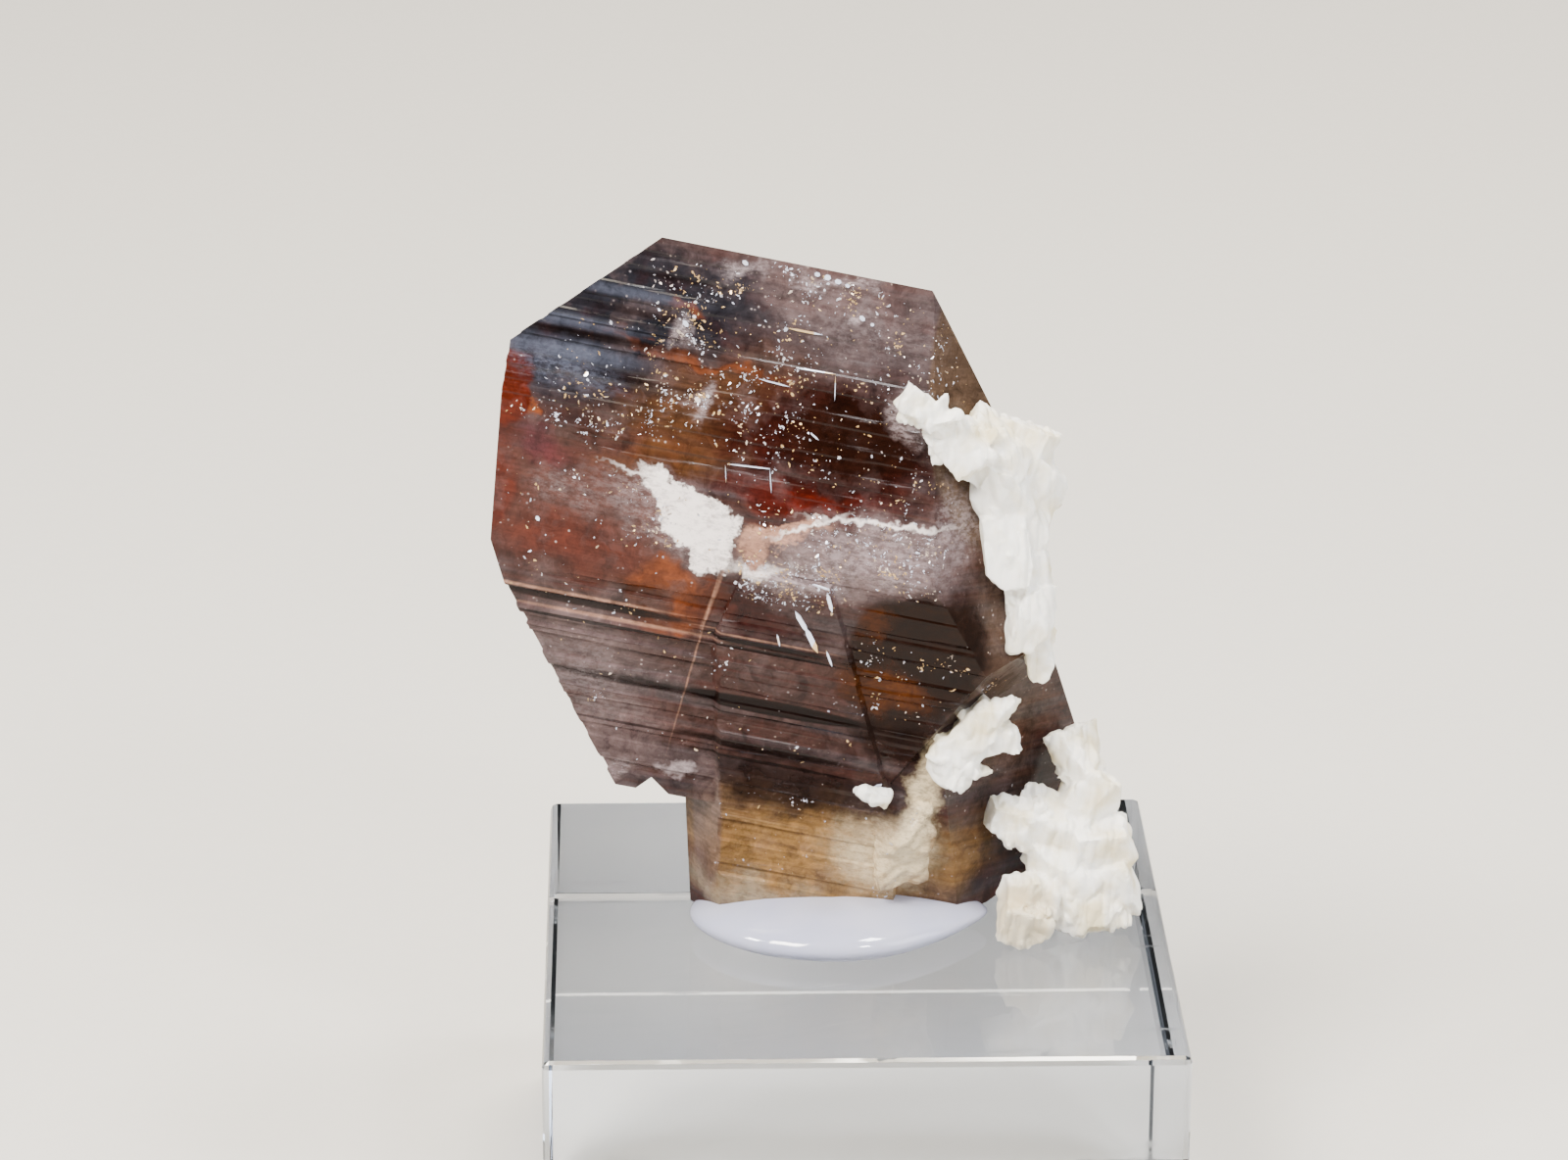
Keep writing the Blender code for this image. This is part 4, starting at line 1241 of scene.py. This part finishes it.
class SPECIMEN_OT_stage(bpy.types.Operator):
    """Pale floor, soft studio lights and the camera at the photograph's angle"""

    bl_idname = "specimen.stage"
    bl_label = "Stage"

    def execute(self, context):
        scene = context.scene
        corners = [(x * FLOOR_HALF, y * FLOOR_HALF, 0) for x, y in ((-1, -1), (1, -1), (1, 1), (-1, 1))]
        floor = mesh_object("floor", corners, [(0, 1, 2, 3)])
        floor.location.z = -FLOOR_DROP * MM
        floor.data.materials.append(floor_material(scene.specimen_colours))

        world = bpy.data.worlds.new("studio")
        world.use_nodes = True
        background = world.node_tree.nodes["Background"]
        background.inputs["Color"].default_value = linear("#dfe3e8")
        background.inputs["Strength"].default_value = SKY_STRENGTH
        scene.world = world

        for name, place, size, power, tint in LAMPS:
            data = bpy.data.lights.new(name, "AREA")
            data.size = size
            data.energy = power
            data.color = linear(tint)[:3]
            lamp = bpy.data.objects.new(name, data)
            lamp.location = place
            lamp.rotation_euler = (Vector(LAMP_TARGET) - Vector(place)).to_track_quat("-Z", "Y").to_euler()
            scene.collection.objects.link(lamp)

        data = bpy.data.cameras.new("camera")
        data.sensor_width = CAMERA_SENSOR
        data.lens = CAMERA_LENS
        data.clip_start = 0.01
        camera = bpy.data.objects.new("camera", data)
        camera.location = Vector(CAMERA_PLACE) * MM
        camera.rotation_euler = (
            Matrix.Rotation(math.radians(-CAMERA_YAW), 4, "Z")
            @ Matrix.Rotation(math.radians(90.0 - CAMERA_PITCH), 4, "X")
            @ Matrix.Rotation(math.radians(CAMERA_ROLL), 4, "Z")
        ).to_euler()
        scene.collection.objects.link(camera)
        scene.camera = camera
        return {"FINISHED"}


class SPECIMEN_PT_panel(bpy.types.Panel):
    """Lists the pieces of the specimen and their sizes and colours"""

    bl_idname = "SPECIMEN_PT_panel"
    bl_label = "Axinite Specimen"
    bl_space_type = "VIEW_3D"
    bl_region_type = "UI"
    bl_category = "Specimen"

    def draw(self, context):
        for operator in OPERATORS:
            self.layout.operator(operator.bl_idname)
        for group in (context.scene.specimen_sizes, context.scene.specimen_colours):
            box = self.layout.box()
            for name in group.__annotations__:
                box.prop(group, name)


OPERATORS = (
    SPECIMEN_OT_stage,
    SPECIMEN_OT_block,
    SPECIMEN_OT_gel,
    SPECIMEN_OT_crystals,
    SPECIMEN_OT_glints,
    SPECIMEN_OT_feldspar,
)
CLASSES = (SpecimenSizes, SpecimenColours, *OPERATORS, SPECIMEN_PT_panel)


def register():
    for cls in CLASSES:
        bpy.utils.register_class(cls)
    bpy.types.Scene.specimen_sizes = PointerProperty(type=SpecimenSizes)
    bpy.types.Scene.specimen_colours = PointerProperty(type=SpecimenColours)


def unregister():
    del bpy.types.Scene.specimen_colours
    del bpy.types.Scene.specimen_sizes
    for cls in reversed(CLASSES):
        bpy.utils.unregister_class(cls)


def main():
    register()
    bpy.ops.specimen.stage()
    bpy.ops.specimen.block()
    bpy.ops.specimen.gel()
    bpy.ops.specimen.crystals()
    bpy.ops.specimen.glints()
    bpy.ops.specimen.feldspar()


if __name__ == "__main__":
    main()
